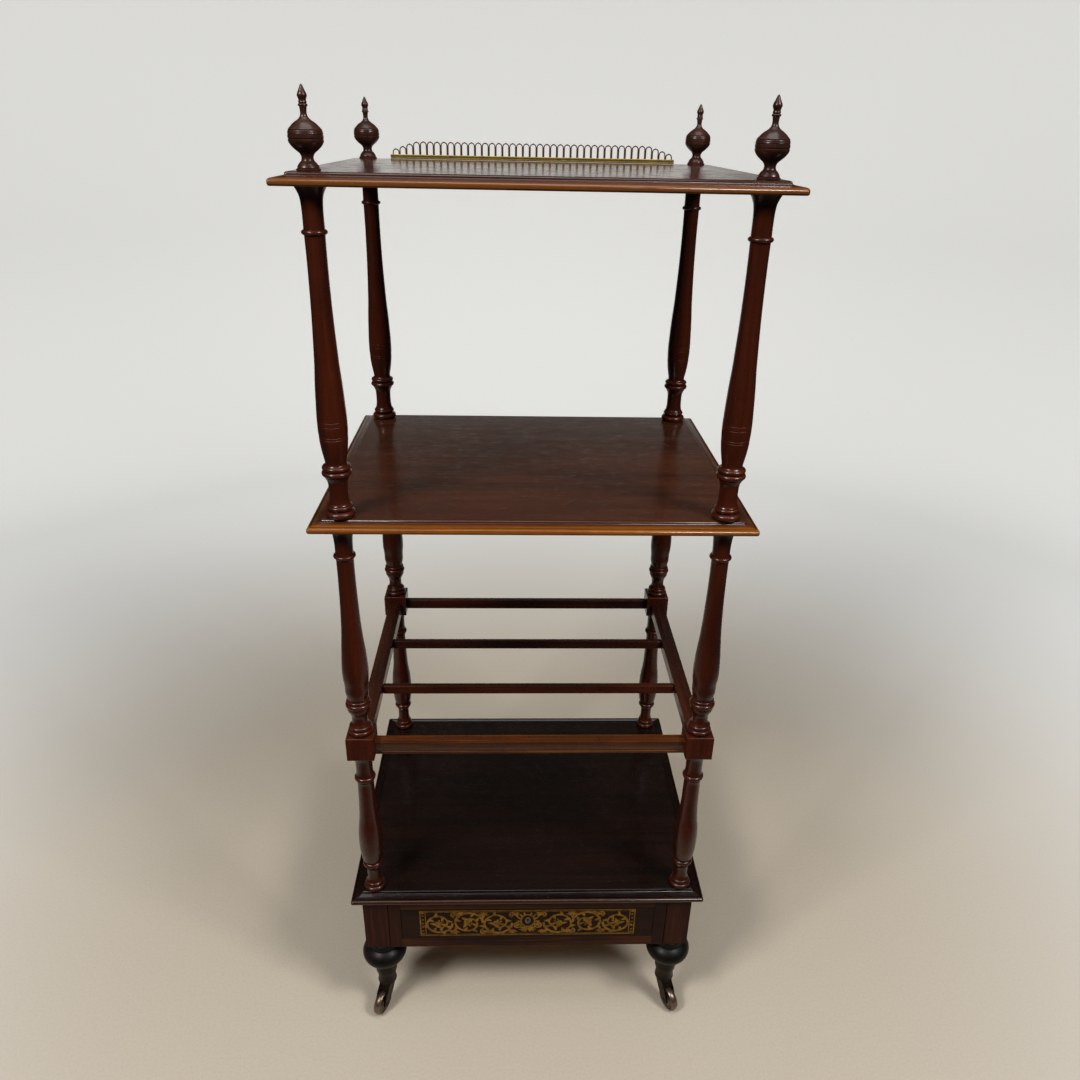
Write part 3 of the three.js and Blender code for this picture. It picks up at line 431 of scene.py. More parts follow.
foot_low, foot_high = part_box("foot_fr")
ball_radius = (foot_high.x - foot_low.x) / 2 / mm
ball_rise = 21.5
ball_height = 128
collar_radius = 23
foot_outline = [
    (106, 0), (106, 16), (107, 16.9), (108.4, 17.1),
    *[(ball_height + ball_rise * z, ball_radius * x) for x, z in arc((0, 0), 1, -60, 48, 22)],
    (144.6, 23.4), (145.6, 22.6), (148, 22.2), (152.6, 22.2), (154.2, 22.5),
    (156.4, collar_radius + 0.8, 3.6), (159.4, collar_radius - 0.5), (159.4, 0),
]
foot_black = ebonised("ebonised foot")
for tag, place in foot_places.items():
    foot = placed(turned(outline(foot_outline, steps=1), steps=48), place)
    fitted(f"ball_foot_{tag}", foot, foot_black, "ebonised_wood", "frame", f"foot_{tag}")


# Case: four square corner posts of mahogany with the side and back boards between them, a stile beside
# each corner post in front, and rails over and under the drawer. A mortise in the top rail takes the
# bolt of the lock.
def mahogany(name, grain, shift=(0, 0, 0), body=tone(58, 25, 14), dark=tone(30, 12, 8),
             light=tone(86, 40, 22), streak=0.4, turning=False, worn=None, bare=tone(150, 84, 38),
             gloss=0.26, coat=0.3, shine=0.36, dust=0.0, raw=None):
    """Polished mahogany with its grain along x, y or z. worn gives the mask of its bare edges, painted
    lighter as wear and in part as a painted highlight, and raw the height of an underside that was left
    unpolished."""
    wood = Finish(name, Coat_Roughness=0.12, Specular_IOR_Level=shine)
    long = [0.05 if axis == grain else 1 for axis in "xyz"]
    short = [0.025 if axis == grain else 1 for axis in "xyz"]
    figure = wood.noise(46, long, detail=3.0, roughness=0.55, distortion=0.4, shift=shift)
    streaks = wood.noise(300, short, detail=3.0, roughness=0.6, distortion=0.2, shift=shift)
    pores = wood.noise(1500, short, detail=2.0, roughness=0.5, shift=shift).over(0.58, 0.7)
    cloud = wood.noise(8, detail=3.0, shift=shift)
    rubs = wood.noise(60, detail=4.0, roughness=0.65, shift=shift)
    colour = wood.mix(figure.over(0.3, 0.7), dark, body)
    colour = wood.mix(streaks.over(0.44, 0.74) * streak, colour, light)
    colour = wood.mix(cloud.over(0.42, 0.7) * 0.4, colour, dark)
    colour = wood.mix(pores * 0.45, colour, tone(16, 7, 5))
    if turning:
        # Turned pieces are painted near black in their hollows and a little lighter on their crests.
        colour = wood.mix(wood.hollows() * 0.75, colour, tone(12, 6, 4))
        colour = wood.mix(wood.crests() * 0.25, colour, light)
    finish_left = coat - rubs.over(0.45, 0.75) * 0.5 * coat
    roughness = gloss + rubs.over(0.35, 0.8) * 0.1 + pores * 0.08
    if raw is not None:
        underside = 1 - wood.along(2).over(raw + 0.3 * mm, raw + 0.8 * mm)
        finish_left = finish_left * (1 - underside)
        roughness = roughness + underside * 0.5
    if worn:
        # The bare colour on the nose is wear, and in part a painted highlight where the light catches it.
        bare_and_lit = worn(wood) * (0.6 + rubs * 0.6)
        colour = wood.mix(bare_and_lit, colour, wood.mix(streaks.over(0.2, 0.55), light, bare))
        finish_left = finish_left * (1 - bare_and_lit)
    if dust:
        colour = wood.mix(wood.specks(150, 0.05) * dust, colour, tone(160, 146, 130))
        colour = wood.mix(wood.specks(61, 0.045) * dust, colour, tone(136, 104, 84))
    return wood.finished(
        Base_Color=colour,
        Roughness=roughness,
        Coat_Weight=finish_left,
        Normal=wood.bump(streaks * 0.4 - pores, 0.03 * mm, 0.5),
    )


def board(low, high, arris=0.7):
    """Plain sawn board between two corners, with its arrises eased."""
    low, high = Vector(low), Vector(high)
    form = bmesh.new()
    bmesh.ops.create_cube(form, size=1)
    bmesh.ops.scale(form, verts=form.verts, vec=high - low)
    bmesh.ops.translate(form, verts=form.verts, vec=(low + high) / 2)
    if arris:
        rounded(form, form.edges, arris, 3)
    return form


def run(section, start, end, arris=0.5):
    """Length of moulding along X, in metres, from its section in Y and Z."""
    form = bmesh.new()
    face = form.faces.new([form.verts.new((start, y, z)) for y, z in section])
    drawn_out(form, [face], (end - start, 0, 0))
    sharp = [
        edge for edge in form.edges
        if edge.calc_face_angle(0) > math.radians(60)
        and abs(edge.verts[0].co.x - edge.verts[1].co.x) > mm
    ]
    rounded(form, sharp, arris, 2)
    return form


def cut(form, *hollows):
    """Chops square hollows, each given by its two corners, out of a form."""
    whole = bpy.data.meshes.new("whole")
    form.to_mesh(whole)
    form.free()
    worked = bpy.data.objects.new("worked", whole)
    waste = bpy.data.meshes.new("waste")
    joined(*[board(low, high, 0) for low, high in hollows]).to_mesh(waste)
    chisel = bpy.data.objects.new("chisel", waste)
    for item in (worked, chisel):
        bpy.context.collection.objects.link(item)
    chop = worked.modifiers.new("chop", "BOOLEAN")
    chop.operation = "DIFFERENCE"
    chop.solver = "EXACT"
    chop.use_self = True
    chop.object = chisel
    depsgraph = bpy.context.evaluated_depsgraph_get()
    chopped = bpy.data.meshes.new_from_object(worked.evaluated_get(depsgraph))
    form = bmesh.new()
    form.from_mesh(chopped)
    for item in (worked, chisel):
        bpy.data.objects.remove(item)
    for mesh in (whole, waste, chopped):
        bpy.data.meshes.remove(mesh)
    return form


case_red = tone(48, 21, 10)
dull = {"gloss": 0.45, "coat": 0.03, "shine": 0.08}
corner_wood = mahogany(
    "corner post mahogany", "z", (3, 1, 0), body=tone(60, 25, 11), light=tone(90, 41, 17), **dull,
)
case_wood = mahogany("case board mahogany", "y", (7, 2, 0), body=case_red, **dull)
for tag in corners:
    low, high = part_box(f"case_corner_{tag}")
    square = board(low, high, 0.8)
    fitted(f"square_corner_{tag}", square, corner_wood, "mahogany", "frame", f"case_corner_{tag}")
corner_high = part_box("case_corner_fl")[1]
inner_x = -corner_high.x
inner_y = -corner_high.y
for side in sides:
    low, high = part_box(f"case_side_{side}")
    low.y, high.y = -inner_y, inner_y
    fitted(f"side_board_{side}", board(low, high), case_wood, "mahogany", "frame", f"case_side_{side}")
low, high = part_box("case_back")
low.x, high.x = -inner_x, inner_x
back_wood = mahogany("case back mahogany", "x", (5, 5, 0), body=case_red, **dull)
fitted("back_board", board(low, high), back_wood, "mahogany", "frame", "case_back")

stile_wood = mahogany("stile mahogany", "z", (11, 4, 0), body=case_red, light=tone(76, 36, 20), **dull)
stile_groove = 1.5 * mm
for side, x in sides.items():
    low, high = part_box(f"case_stile_{side}")
    inner, outer = sorted((abs(low.x), abs(high.x)))
    plan = [
        (low.y, inner), (low.y, outer - stile_groove), (low.y + stile_groove, outer - 0.6 * stile_groove),
        (low.y + stile_groove, outer), (high.y, outer), (high.y, inner),
    ]
    strip = run([(y, across - inner) for y, across in plan], low.z, high.z)
    stand = Matrix(((0, 0, x, x * inner), (0, 1, 0, 0), (1, 0, 0, 0), (0, 0, 0, 1)))
    strip = placed(strip, stand)
    bmesh.ops.recalc_face_normals(strip, faces=strip.faces)
    fitted(f"front_stile_{side}", strip, stile_wood, "mahogany", "frame", f"case_stile_{side}")
opening_x = inner

rail_wood = mahogany(
    "case rail mahogany", "x", (2, 9, 0), body=tone(84, 41, 12), light=tone(108, 55, 20), **dull,
)
play = 0.3 * mm
bolt_travel = 5 * mm
bolt_low, bolt_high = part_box("lock_bolt")
low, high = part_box("case_top_rail")
mortise = (
    (bolt_low.x - play, bolt_low.y - play, low.z - mm),
    (bolt_high.x + play, bolt_high.y + play, low.z + bolt_travel + play),
)
top_rail = cut(board((-opening_x, low.y, low.z), (opening_x, high.y, high.z)), mortise)
fitted("drawer_top_rail", top_rail, rail_wood, "mahogany", "frame", "case_top_rail")
low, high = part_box("case_bottom_rail")
groove = 1.5 * mm
groove_top = high.z - 2 * mm
rail_section = [
    (high.y, low.z), (high.y, high.z), (low.y, high.z), (low.y, groove_top),
    (low.y + groove, groove_top - 0.2 * groove), (low.y + groove, groove_top - 0.8 * groove),
    (low.y, groove_top - groove), (low.y, low.z),
]
base_rail = run(rail_section, -opening_x, opening_x)
fitted("drawer_base_rail", base_rail, rail_wood, "mahogany", "frame", "case_bottom_rail")


# Drawer: a mahogany front lapped over plain waxed sides, running on two strips inside the case. The
# lock is let into the back of the front, and the sides, back and bottom are of a pale cheap wood.
def waxed_wood(name, grain, shift):
    """Plain pale wood, dusty and unpolished, with its grain along x or y."""
    wood = Finish(name, Specular_IOR_Level=0.3)
    long = [0.05 if axis == grain else 1 for axis in "xyz"]
    figure = wood.noise(70, long, detail=5.0, roughness=0.6, distortion=0.6, shift=shift)
    pores = wood.noise(900, long, detail=2.0, shift=shift).over(0.56, 0.68)
    stain = wood.noise(14, detail=4.0, roughness=0.6, shift=shift)
    colour = wood.mix(figure.over(0.3, 0.7), tone(150, 108, 66), tone(186, 144, 96))
    colour = wood.mix(pores * 0.5, colour, tone(96, 66, 40))
    colour = wood.mix(stain.over(0.5, 0.72) * 0.45, colour, tone(104, 76, 50))
    return wood.finished(
        Base_Color=colour,
        Roughness=0.55 + figure * 0.2,
        Normal=wood.bump(figure * 0.4 - pores, 0.1 * mm, 0.6),
    )


side_wood = waxed_wood("drawer side wood", "y", (1, 0, 2))
cross_wood = waxed_wood("drawer back wood", "x", (4, 3, 0))
lock_steel = aged_brass(
    "dull lock metal", tone(170, 164, 152), tone(120, 110, 96), tone(58, 50, 42), roughness=0.34,
    bare=0.3,
)
carried = {
    "drawer_side_l": side_wood, "drawer_side_r": side_wood, "drawer_back": cross_wood,
    "drawer_bottom": cross_wood, "drawer_runner_l": side_wood, "drawer_runner_r": side_wood,
    "drawer_lock": lock_steel, "lock_bolt": lock_steel,
}
for node, finish in carried.items():
    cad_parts[node].material_slots[0].material = finish

low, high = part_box("drawer_front")
inlay_low, inlay_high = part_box("drawer_inlay")
side_low, side_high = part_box("drawer_side_r")
lock_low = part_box("drawer_lock")[0]
lock_half = 22 * mm
lock_plate = 2 * mm
inlay_recess = ((inlay_low.x, low.y - mm, inlay_low.z), (inlay_high.x, inlay_high.y, inlay_high.z))
behind = (high.y + mm, high.z + mm)
lock_recess = ((-lock_half - play, lock_low.y - play, lock_low.z - play), (lock_half + play, *behind))
plate_recess = (
    (lock_low.x - play, lock_low.y - play, high.z - lock_plate - play), (-lock_low.x + play, *behind),
)
right_lap = (
    (side_low.x - play, side_low.y - play, low.z - mm), (high.x + mm, high.y + mm, side_high.z + play),
)
left_lap = ((-right_lap[1][0], *right_lap[0][1:]), (-right_lap[0][0], *right_lap[1][1:]))
recesses = (inlay_recess, lock_recess, plate_recess, right_lap, left_lap)
drawer_board = cut(board(low, high, 0.9), *recesses)
front_wood = mahogany(
    "drawer front mahogany", "x", (6, 6, 1), body=tone(37, 18, 8), dark=tone(22, 11, 6),
    light=tone(56, 28, 13), **dull,
)
fitted("drawer_face", drawer_board, front_wood, "mahogany", "drawer", "drawer_front")


# Inlay: scrolls of sheet brass let into a panel of dark wood. A stem leaves the keyhole each way and
# curls into three volutes with leaves, inside a border of brass lines, and all is polished flush.
def veneer_ground(name):
    """Dark rosewood behind the brass."""
    wood = Finish(name, Specular_IOR_Level=0.08)
    figure = wood.noise(90, (0.08, 1, 1), detail=4.0, roughness=0.65, distortion=0.6)
    cloud = wood.noise(20, detail=3.0)
    colour = wood.mix(figure.over(0.3, 0.7), tone(16, 8, 4), tone(42, 21, 11))
    return wood.finished(Base_Color=colour, Roughness=0.42 + cloud * 0.2)


def leaf(start, heading, length, bend, width):
    """Teardrop stroke: (x, z, half width) from its stalk to its tip, bending by so many degrees."""
    steps = 7
    x, z = start
    stroke = []
    for step in range(steps + 1):
        share = step / steps
        stroke.append((x, z, 0.12 + width * math.sin(math.pi * share**0.62) ** 0.8))
        turn = math.radians(heading + bend * share)
        x += length / steps * math.cos(turn)
        z += length / steps * math.sin(turn)
    return stroke


def volute(centre, radius, start, turns, eye, width, hold=0.0):
    """Scroll that starts on a circle, holds its radius for a share of its run and winds in to its eye."""
    steps = int(16 * abs(turns)) + 1
    stroke = []
    for step in range(steps + 1):
        share = step / steps
        wound = max(0, share - hold) / (1 - hold)
        reach = radius + (eye - radius) * wound**0.85
        turn = math.radians(start) + 2 * math.pi * turns * share
        half = width * (1 - 0.45 * share)
        stroke.append((centre[0] + reach * math.cos(turn), centre[1] + reach * math.sin(turn), half))
    return stroke


def sprigs(stem, first, every, length, width):
    """Leaves that spring from both sides of a stem in turn and curl away from it."""
    leaves = []
    side = 1
    for place in range(first, len(stem) - 3, every):
        x, z = stem[place][:2]
        next_x, next_z = stem[place + 1][:2]
        heading = math.degrees(math.atan2(next_z - z, next_x - x))
        leaves.append(leaf((x, z), heading + side * 40, length, side * 64, width))
        side = -side
    return leaves


def bud(centre, radius):
    """Round dot, as a short thick stroke."""
    stroke = []
    for x, z in arc((0, 0), radius, 0, 180, 6):
        stroke.append((centre[0] + x, centre[1], max(z, 0.1)))
    return stroke


def brasswork(strokes, y, thickness):
    """Sheet brass with rounded edges, so thick on each side of y, from strokes in X and Z. Each stroke
    lies a hair over the last, so that no two share a face where they cross."""
    apart = 10 * mm
    hair = 0.002 * mm
    layers = 40
    full = 0.5 * mm
    curve = bpy.data.curves.new("strokes", "CURVE")
    curve.dimensions = "3D"
    curve.bevel_depth = mm
    curve.bevel_resolution = 1
    curve.use_fill_caps = True
    for place, stroke in enumerate(strokes):
        spline = curve.splines.new("POLY")
        spline.points.add(len(stroke) - 1)
        for point, (x, z, half) in zip(spline.points, stroke):
            point.co = (x * mm, place * apart, z * mm, 1)
            point.radius = half
    drawn = bpy.data.objects.new("strokes", curve)
    mesh = bpy.data.meshes.new_from_object(drawn)
    form = bmesh.new()
    form.from_mesh(mesh)
    bpy.data.objects.remove(drawn)
    bpy.data.curves.remove(curve)
    bpy.data.meshes.remove(mesh)
    for vert in form.verts:
        place = round(vert.co.y / apart)
        side = vert.co.y - place * apart
        vert.co.y = math.copysign(min(abs(side), full), side) * thickness / full - place % layers * hair
    bmesh.ops.translate(form, verts=form.verts, vec=(0, y, 0))
    bmesh.ops.recalc_face_normals(form, faces=form.faces)
    return form


panel_x = inlay_high.x / mm
panel_z = (inlay_high.z - inlay_low.z) / 2 / mm
panel_middle = (inlay_high.z + inlay_low.z) / 2
key_height = 218.5
key_z = key_height - panel_middle / mm
ring_x = 10.5
ring_z = 13
ring_middle = key_z - 3
border = 1.6
inner_line = 4.2
end_line = 9.5
end_bead = 5.4
scroll_radius = 22
scroll_pitch = 45
first_scroll = 46
scroll_turns = 1.72
scroll_eye = 3.4
stem_width = 2.2
leaf_length = 10
leaf_width = 2.7
flower_eye = 3.1
spandrel_inset = 9.5
leafwork_top = panel_z - 5.2
strokes = []
for side in (-1, 1):
    leafwork = []
    for place in range(3):
        hand = 1 if place % 2 == 0 else -1
        x = first_scroll + place * scroll_pitch
        reach = scroll_radius - (2 if place == 2 else 0)
        stem = volute((x, 0), reach, 180, hand * scroll_turns, scroll_eye, stem_width, hold=0.27)
        leafwork.append(stem)
        leafwork += sprigs(stem, 1, 2, leaf_length, leaf_width)
        leafwork.append(bud((x + 0.4, 0.2), 2.4))
        for petal in range(6):
            turn = 60 * petal + 20
            bearing = math.radians(turn)
            root = (x + flower_eye * math.cos(bearing), flower_eye * math.sin(bearing))
            leafwork.append(leaf(root, turn, 4.8, 50 * hand, 1.5))
        spandrel = (x - scroll_pitch / 2, hand * (panel_z - spandrel_inset))
        leafwork.append(volute(spandrel, 5.6, 90 * -hand, hand * 1.25, 1.6, 1.5))
        leafwork.append(bud(spandrel, 1.6))
        for fan in (-66, -33, 0, 33, 66):
            start = (spandrel[0], -spandrel[1] + hand * 3)
            leafwork.append(leaf(start, -90 * hand - fan, 9.5, 24, 1.9))
        for heading in (150, 180, 210):
            leafwork.append(leaf((spandrel[0] - 2, spandrel[1]), heading, 10, 40 * hand, 1.9))
    leafwork.append(volute((15, -6), 7, 100, -1.5, 2.2, 1.6))
    leafwork.append(bud((15, -6), 1.8))
    for fan, length in ((-88, 12), (-62, 13), (-38, 14), (-12, 12)):
        leafwork.append(leaf((1.5, -10), fan, length, 35, 1.9))
    for turn in range(-30, 90, 24):
        bearing = math.radians(turn)
        root = (ring_x * math.cos(bearing), ring_middle + ring_z * math.sin(bearing))
        leafwork.append(leaf(root, turn, 8, 36, 1.8))
    half = [
        [(x, max(-leafwork_top, min(leafwork_top, z)), width) for x, z, width in stroke]
        for stroke in leafwork
    ]
    for height in (-1, 1):
        inner = height * (panel_z - inner_line)
        outer = height * (panel_z - border)
        half.append([(0, inner, 0.4), (panel_x - end_line, inner, 0.4)])
        half.append([(0, outer, 0.7), (panel_x - border, outer, 0.7)])
        half.append(bud((panel_x - end_bead, height * leafwork_top), 2.6))
    for x, width in ((panel_x - border - 0.2, 1.0), (panel_x - end_line, 0.6)):
        half.append([(x, -panel_z + border, width), (x, panel_z - border, width)])
    for step in range(5):
        half.append(bud((panel_x - end_bead - 0.1, (step - 2) * 8.2), 1.7))
    strokes += [[(side * x, z, width) for x, z, width in stroke] for stroke in half]
strokes.append([(ring_x * x, ring_middle + ring_z * z, 1.3) for x, z in arc((0, 0), 1, 0, 360, 28)])
inlay_brass = aged_brass(
    "inlay brass", tone(166, 124, 42), tone(114, 80, 26), tone(46, 29, 12), roughness=0.4, bare=0.0,
)
sunk = 0.05 * mm
sheet_half = 0.1 * mm
ground = board((inlay_low.x, inlay_low.y + sunk, inlay_low.z), inlay_high, 0.1)
rosewood = veneer_ground("inlay ground")
fitted("inlay_panel", ground, rosewood, "brass_inlay", "drawer", "drawer_inlay")
sheet = brasswork(strokes, inlay_low.y + sunk, sheet_half)
placed(sheet, Matrix.Translation((0, 0, panel_middle)))
fitted("inlay_scrolls", sheet, inlay_brass, "brass_inlay", "drawer")


# Escutcheon: a small oval of pale metal round the keyhole, let in over the brass. A thin black plate in
# the keyhole is painted shade for the dark hole of the lock behind it.
plate_low, plate_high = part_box("drawer_escutcheon")
plate_middle = (plate_low.z + plate_high.z) / 2
key_radius = 2.0
oval_x = (plate_high.x - plate_low.x) / 2 / mm
oval_z = (plate_high.z - plate_low.z) / 2 / mm
oval = [(oval_x * x, oval_z * z) for x, z in arc((0, 0), 1, 0, 360, 28)[:-1]]
rim_plate = placed(
    plate(oval, (plate_high.y - plate_low.y) / mm, 0.3),
    Matrix.Translation((0, (plate_low.y + plate_high.y) / 2, plate_middle)),
)
pale_metal = aged_brass(
    "escutcheon metal", tone(134, 122, 108), tone(92, 78, 66), tone(42, 33, 26), roughness=0.34,
    bare=0.2,
)
fitted("keyhole_plate", rim_plate, pale_metal, "lock_metal", "drawer", "drawer_escutcheon")
# The keyhole is no hole: a thin near-black plate on the escutcheon, painted shade for the dark hole into
# the lock.
keyhole = arc((0, key_z), key_radius, -60, 240, 12) + [(-1.1, key_z - 5.4), (1.1, key_z - 5.4)]
dark_hole = placed(plate(keyhole, 0.3, 0), Matrix.Translation((0, plate_low.y, panel_middle)))
hole_black = Finish("keyhole shadow", Roughness=0.8)
painted_hole_shade = hole_black.mix(hole_black.noise(400), tone(8, 6, 5), tone(20, 15, 12))
hole_black = hole_black.finished(Base_Color=painted_hole_shade)
fitted("keyhole_shadow", dark_hole, hole_black, "lock_metal", "drawer")


# Bottom shelf: one board of dark mahogany that closes the case, with a moulding run round all four
# edges: a round nose, a shallow hollow and a small step up to the flat. The posts stand on it.
def worn_and_lit_nose(half_x, half_y, reach, front, ends):
    """Mask of the outer nose of a shelf, with how bare it is along the front and back and at its ends.
    Its lighter colour is wear and in part a painted highlight.
    """
    def mask(wood):
        across = abs(wood.along(0)).over(half_x - reach, half_x - 0.4 * reach) * ends
        deep = abs(wood.along(1)).over(half_y - reach, half_y - 0.4 * reach) * front
        return across.math("MAXIMUM", across, deep)
    return mask


def moulded_shelf(low, high):
    """Board with its moulded edge, raised ring by ring from its underside."""
    corner_radius = 2.4
    nose = [
        (1.6, 0), (0.75, 0.5), (0.2, 1.5), (0, 2.8), (0, 4.2), (0.25, 5.4), (0.95, 6.5), (2.1, 7.3),
        (3.4, 7.6),
    ]
    hollow = [(4.5, 7.6), (6.4, 7.75), (8.6, 8.15), (10.8, 8.7), (12.8, 9.35), (14.5, 10)]
    step_up = [(14.6, 11.3), (14.9, 11.9), (15.6, 12.5), (16.6, 12.85), (17.8, 13)]
    form = bmesh.new()
    bmesh.ops.create_grid(form, x_segments=1, y_segments=1, size=0.5)
    span = high - low
    inset, height = nose[0]
    size = Vector((span.x - 2 * inset * mm, span.y - 2 * inset * mm, 1))
    bmesh.ops.scale(form, verts=form.verts, vec=size)
    bmesh.ops.translate(form, verts=form.verts, vec=(0, 0, low.z))
    rounded(form, form.verts, corner_radius, 3, "VERTICES")
    top = form.faces[:][0]
    for inset, rise in (nose + hollow + step_up)[1:]:
        grown = bmesh.ops.extrude_face_region(form, geom=[top])["geom"]
        top = next(part for part in grown if isinstance(part, bmesh.types.BMFace))
        new = Vector((span.x - 2 * inset * mm, span.y - 2 * inset * mm, 1))
        bmesh.ops.scale(form, verts=top.verts, vec=(new.x / size.x, new.y / size.y, 1))
        bmesh.ops.translate(form, verts=top.verts, vec=(0, 0, (rise - height) * mm))
        size = new
        height = rise
    bmesh.ops.recalc_face_normals(form, faces=form.faces)
    return form


def shelf_board(place, shift, body, dark, light, bare, nose, **polish):
    """Moulded shelf with a worn nose, painted lighter as wear and in part as a painted highlight, left
    unpolished underneath.
    """
    node = f"{place}_shelf"
    low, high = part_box(node)
    wood = mahogany(
        f"{place} shelf mahogany", "x", shift, body=body, dark=dark, light=light, bare=bare,
        worn=worn_and_lit_nose(high.x, high.y, *nose), raw=low.z, streak=0.25, **polish,
    )
    fitted(f"{place}_board", moulded_shelf(low, high), wood, "mahogany", "frame", node)


shelf_board(
    "bottom", (9, 3, 5), tone(26, 12, 7), tone(14, 7, 5), tone(40, 19, 11), bare=tone(88, 48, 22),
    nose=(5 * mm, 0.3, 0.1), gloss=0.2, coat=0.2, dust=0.35,
)


# Lower posts: turned mahogany in one piece from the bottom shelf to the middle shelf, with a square
# block left for the rails of the rack, and a dowel at each end.
block_foot = 256.5
block_head = 293.5
block_half = 18.5
block_arris = 1.2
lower_turning = [
    (0, 13.4), (4, 15.8, 8), (11.5, 13.1, 6), (16.6, 11.5), (20, 10.1), (25, 9.7), (37, 9.7),
    (41.5, 10.5), (45.2, 12), (50.5, 14.7, 8), (56.4, 12.6), (59.5, 14.3), (67.5, 15.5), (78, 16.8),
    (93, 17.25), (107, 17), (121.5, 15.9), (134, 14.2), (150, 12.95), (170, 12.1), (190, 11.7),
    (204, 11.5), (208.4, 12.2), (214.4, 14.8, 8), (220.4, 12.2), (226, 11.5), (238, 11.7), (246, 12.2),
    (252, 13.7), (block_foot, 16.4),
]
rack_turning = [
    (block_head, 15.6), (297.6, 16.7, 7), (304.4, 15, 6), (308.4, 12.3), (311.5, 10.7), (317, 10.4),
    (322.5, 10.7), (328, 12.8), (333, 15.2), (337.8, 15.6), (341.4, 17.2, 7.6), (347.8, 15.6, 4),
    (350.4, 14.1), (353, 14), (357.5, 14.9), (362.5, 15.7), (369.6, 15.75), (375, 16), (384, 17),
    (394, 17.3), (404, 17.05), (418, 16.2), (436, 14.8), (456, 13.2), (474, 12.3), (494, 11.6),
    (515, 11.1), (540, 10.8), (560, 10.9), (564.7, 13.8, 5), (569.4, 11), (580, 11.1), (590, 11.8),
    (597, 13), (602, 14.8), (605.5, 17.2),
]


def squared_post(turning_below, turning_above):
    """Turned post whose block is brought from round to square."""
    corner = block_half * math.sqrt(2)
    points = [(0, 0)] + outline(turning_below) + [(block_foot, corner), (block_head, corner)]
    form = turned(points + outline(turning_above) + [(turning_above[-1][0], 0)])
    square = [vert for vert in form.verts if vert.co.xy.length > (corner - 1) * mm]
    for vert in square:
        vert.co.xy *= block_half * mm / max(abs(vert.co.x), abs(vert.co.y))
    arrises = [
        edge for edge in form.edges
        if edge.verts[0] in square and edge.verts[1] in square and edge.calc_face_angle(0) > 1
    ]
    rounded(form, arrises, block_arris, 3)
    return form


post_low, post_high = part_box("case_corner_fr")
post_x = (post_low.x + post_high.x) / 2
post_y = -(post_low.y + post_high.y) / 2
post_places = {tag: Vector((x * post_x, y * post_y, 0)) for tag, (x, y) in corners.items()}
post_wood = mahogany(
    "turned post mahogany", "z", (2, 5, 3), body=tone(66, 23, 8), dark=tone(40, 13, 5),
    light=tone(84, 32, 12), streak=0.3, turning=True, gloss=0.26, coat=0.18, shine=0.28,
)
lower_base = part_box("bottom_shelf")[1].z
for tag, place in post_places.items():
    stand = Matrix.Translation(place + Vector((0, 0, lower_base)))
    post = placed(squared_post(lower_turning, rack_turning), stand)
    fitted(f"squared_post_{tag}", post, post_wood, "mahogany", "frame", f"lower_post_{tag}")


# Rack: four mahogany rails tenoned into the square blocks, the front one with a bead along its foot and
# the side ones scored along the top, and two thin slats tenoned between the side rails.
rack_wood = mahogany(
    "rack rail mahogany", "x", (8, 1, 4), body=tone(90, 44, 12), dark=tone(54, 25, 9),
    light=tone(142, 76, 26), coat=0.15, shine=0.22,
)
rack_side_wood = mahogany(
    "rack side mahogany", "y", (5, 7, 1), body=tone(60, 27, 12), coat=0.15, shine=0.22,
)
slat_wood = mahogany(
    "rack slat mahogany", "x", (3, 3, 9), body=tone(62, 22, 7), dark=tone(34, 12, 5), coat=0.15,
    shine=0.22,
)
low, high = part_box("rack_front_rail")
bead = 3 * mm
quirk = 1.4 * mm
bead_arc = arc((low.y + bead, low.z + bead), bead, -90, -270, 10)
front_section = [
    (high.y, low.z), *bead_arc, (low.y + 1.2 * mm, low.z + 2 * bead + 0.3 * quirk),
    (low.y + 0.6 * mm, low.z + 2 * bead + quirk), (low.y, high.z), (high.y, high.z),
]
front_rail = run(front_section, -inner_x, inner_x, 0.7)
fitted("beaded_front_rail", front_rail, rack_wood, "mahogany", "frame", "rack_front_rail")
low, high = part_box("rack_back_rail")
back_rail = board((-inner_x, low.y, low.z), (inner_x, high.y, high.z), 1.4)
fitted("plain_back_rail", back_rail, slat_wood, "mahogany", "frame", "rack_back_rail")
score = 0.8 * mm
quarter_turn = Matrix.Rotation(math.pi / 2, 4, "Z")
for side in sides:
    low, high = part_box(f"rack_side_rail_{side}")
    middle = (low.x + high.x) / 2
    half = (high.x - low.x) / 2
    section = [(-half, low.z), (-half, high.z), (-score, high.z), (0, high.z - score), (score, high.z),
               (half, high.z), (half, low.z)]
    side_rail = run(section, -inner_y, inner_y, 1.2)
    placed(side_rail, Matrix.Translation((middle, 0, 0)), quarter_turn)
    node = f"rack_side_rail_{side}"
    fitted(f"scored_side_rail_{side}", side_rail, rack_side_wood, "mahogany", "frame", node)
shoulder_x = low.x
for place in ("front", "back"):
    low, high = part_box(f"rack_slat_{place}")
    slat = board((-shoulder_x, low.y, low.z), (shoulder_x, high.y, high.z), 1.3)
    fitted(f"thin_slat_{place}", slat, slat_wood, "mahogany", "frame", f"rack_slat_{place}")


# Middle shelf: the same moulded board in redder mahogany, bored from below and glued over the dowels of
# the lower posts. Hands and cloths have worn its nose, and its bright orange is that wear and in part a
# painted highlight where the light catches it.
shelf_board(
    "middle", (1, 8, 2), tone(70, 37, 22), tone(50, 25, 15), tone(86, 46, 26), bare=tone(126, 70, 14),
    nose=(13 * mm, 1.0, 0.2), gloss=0.15, coat=0.25, dust=0.5,
)


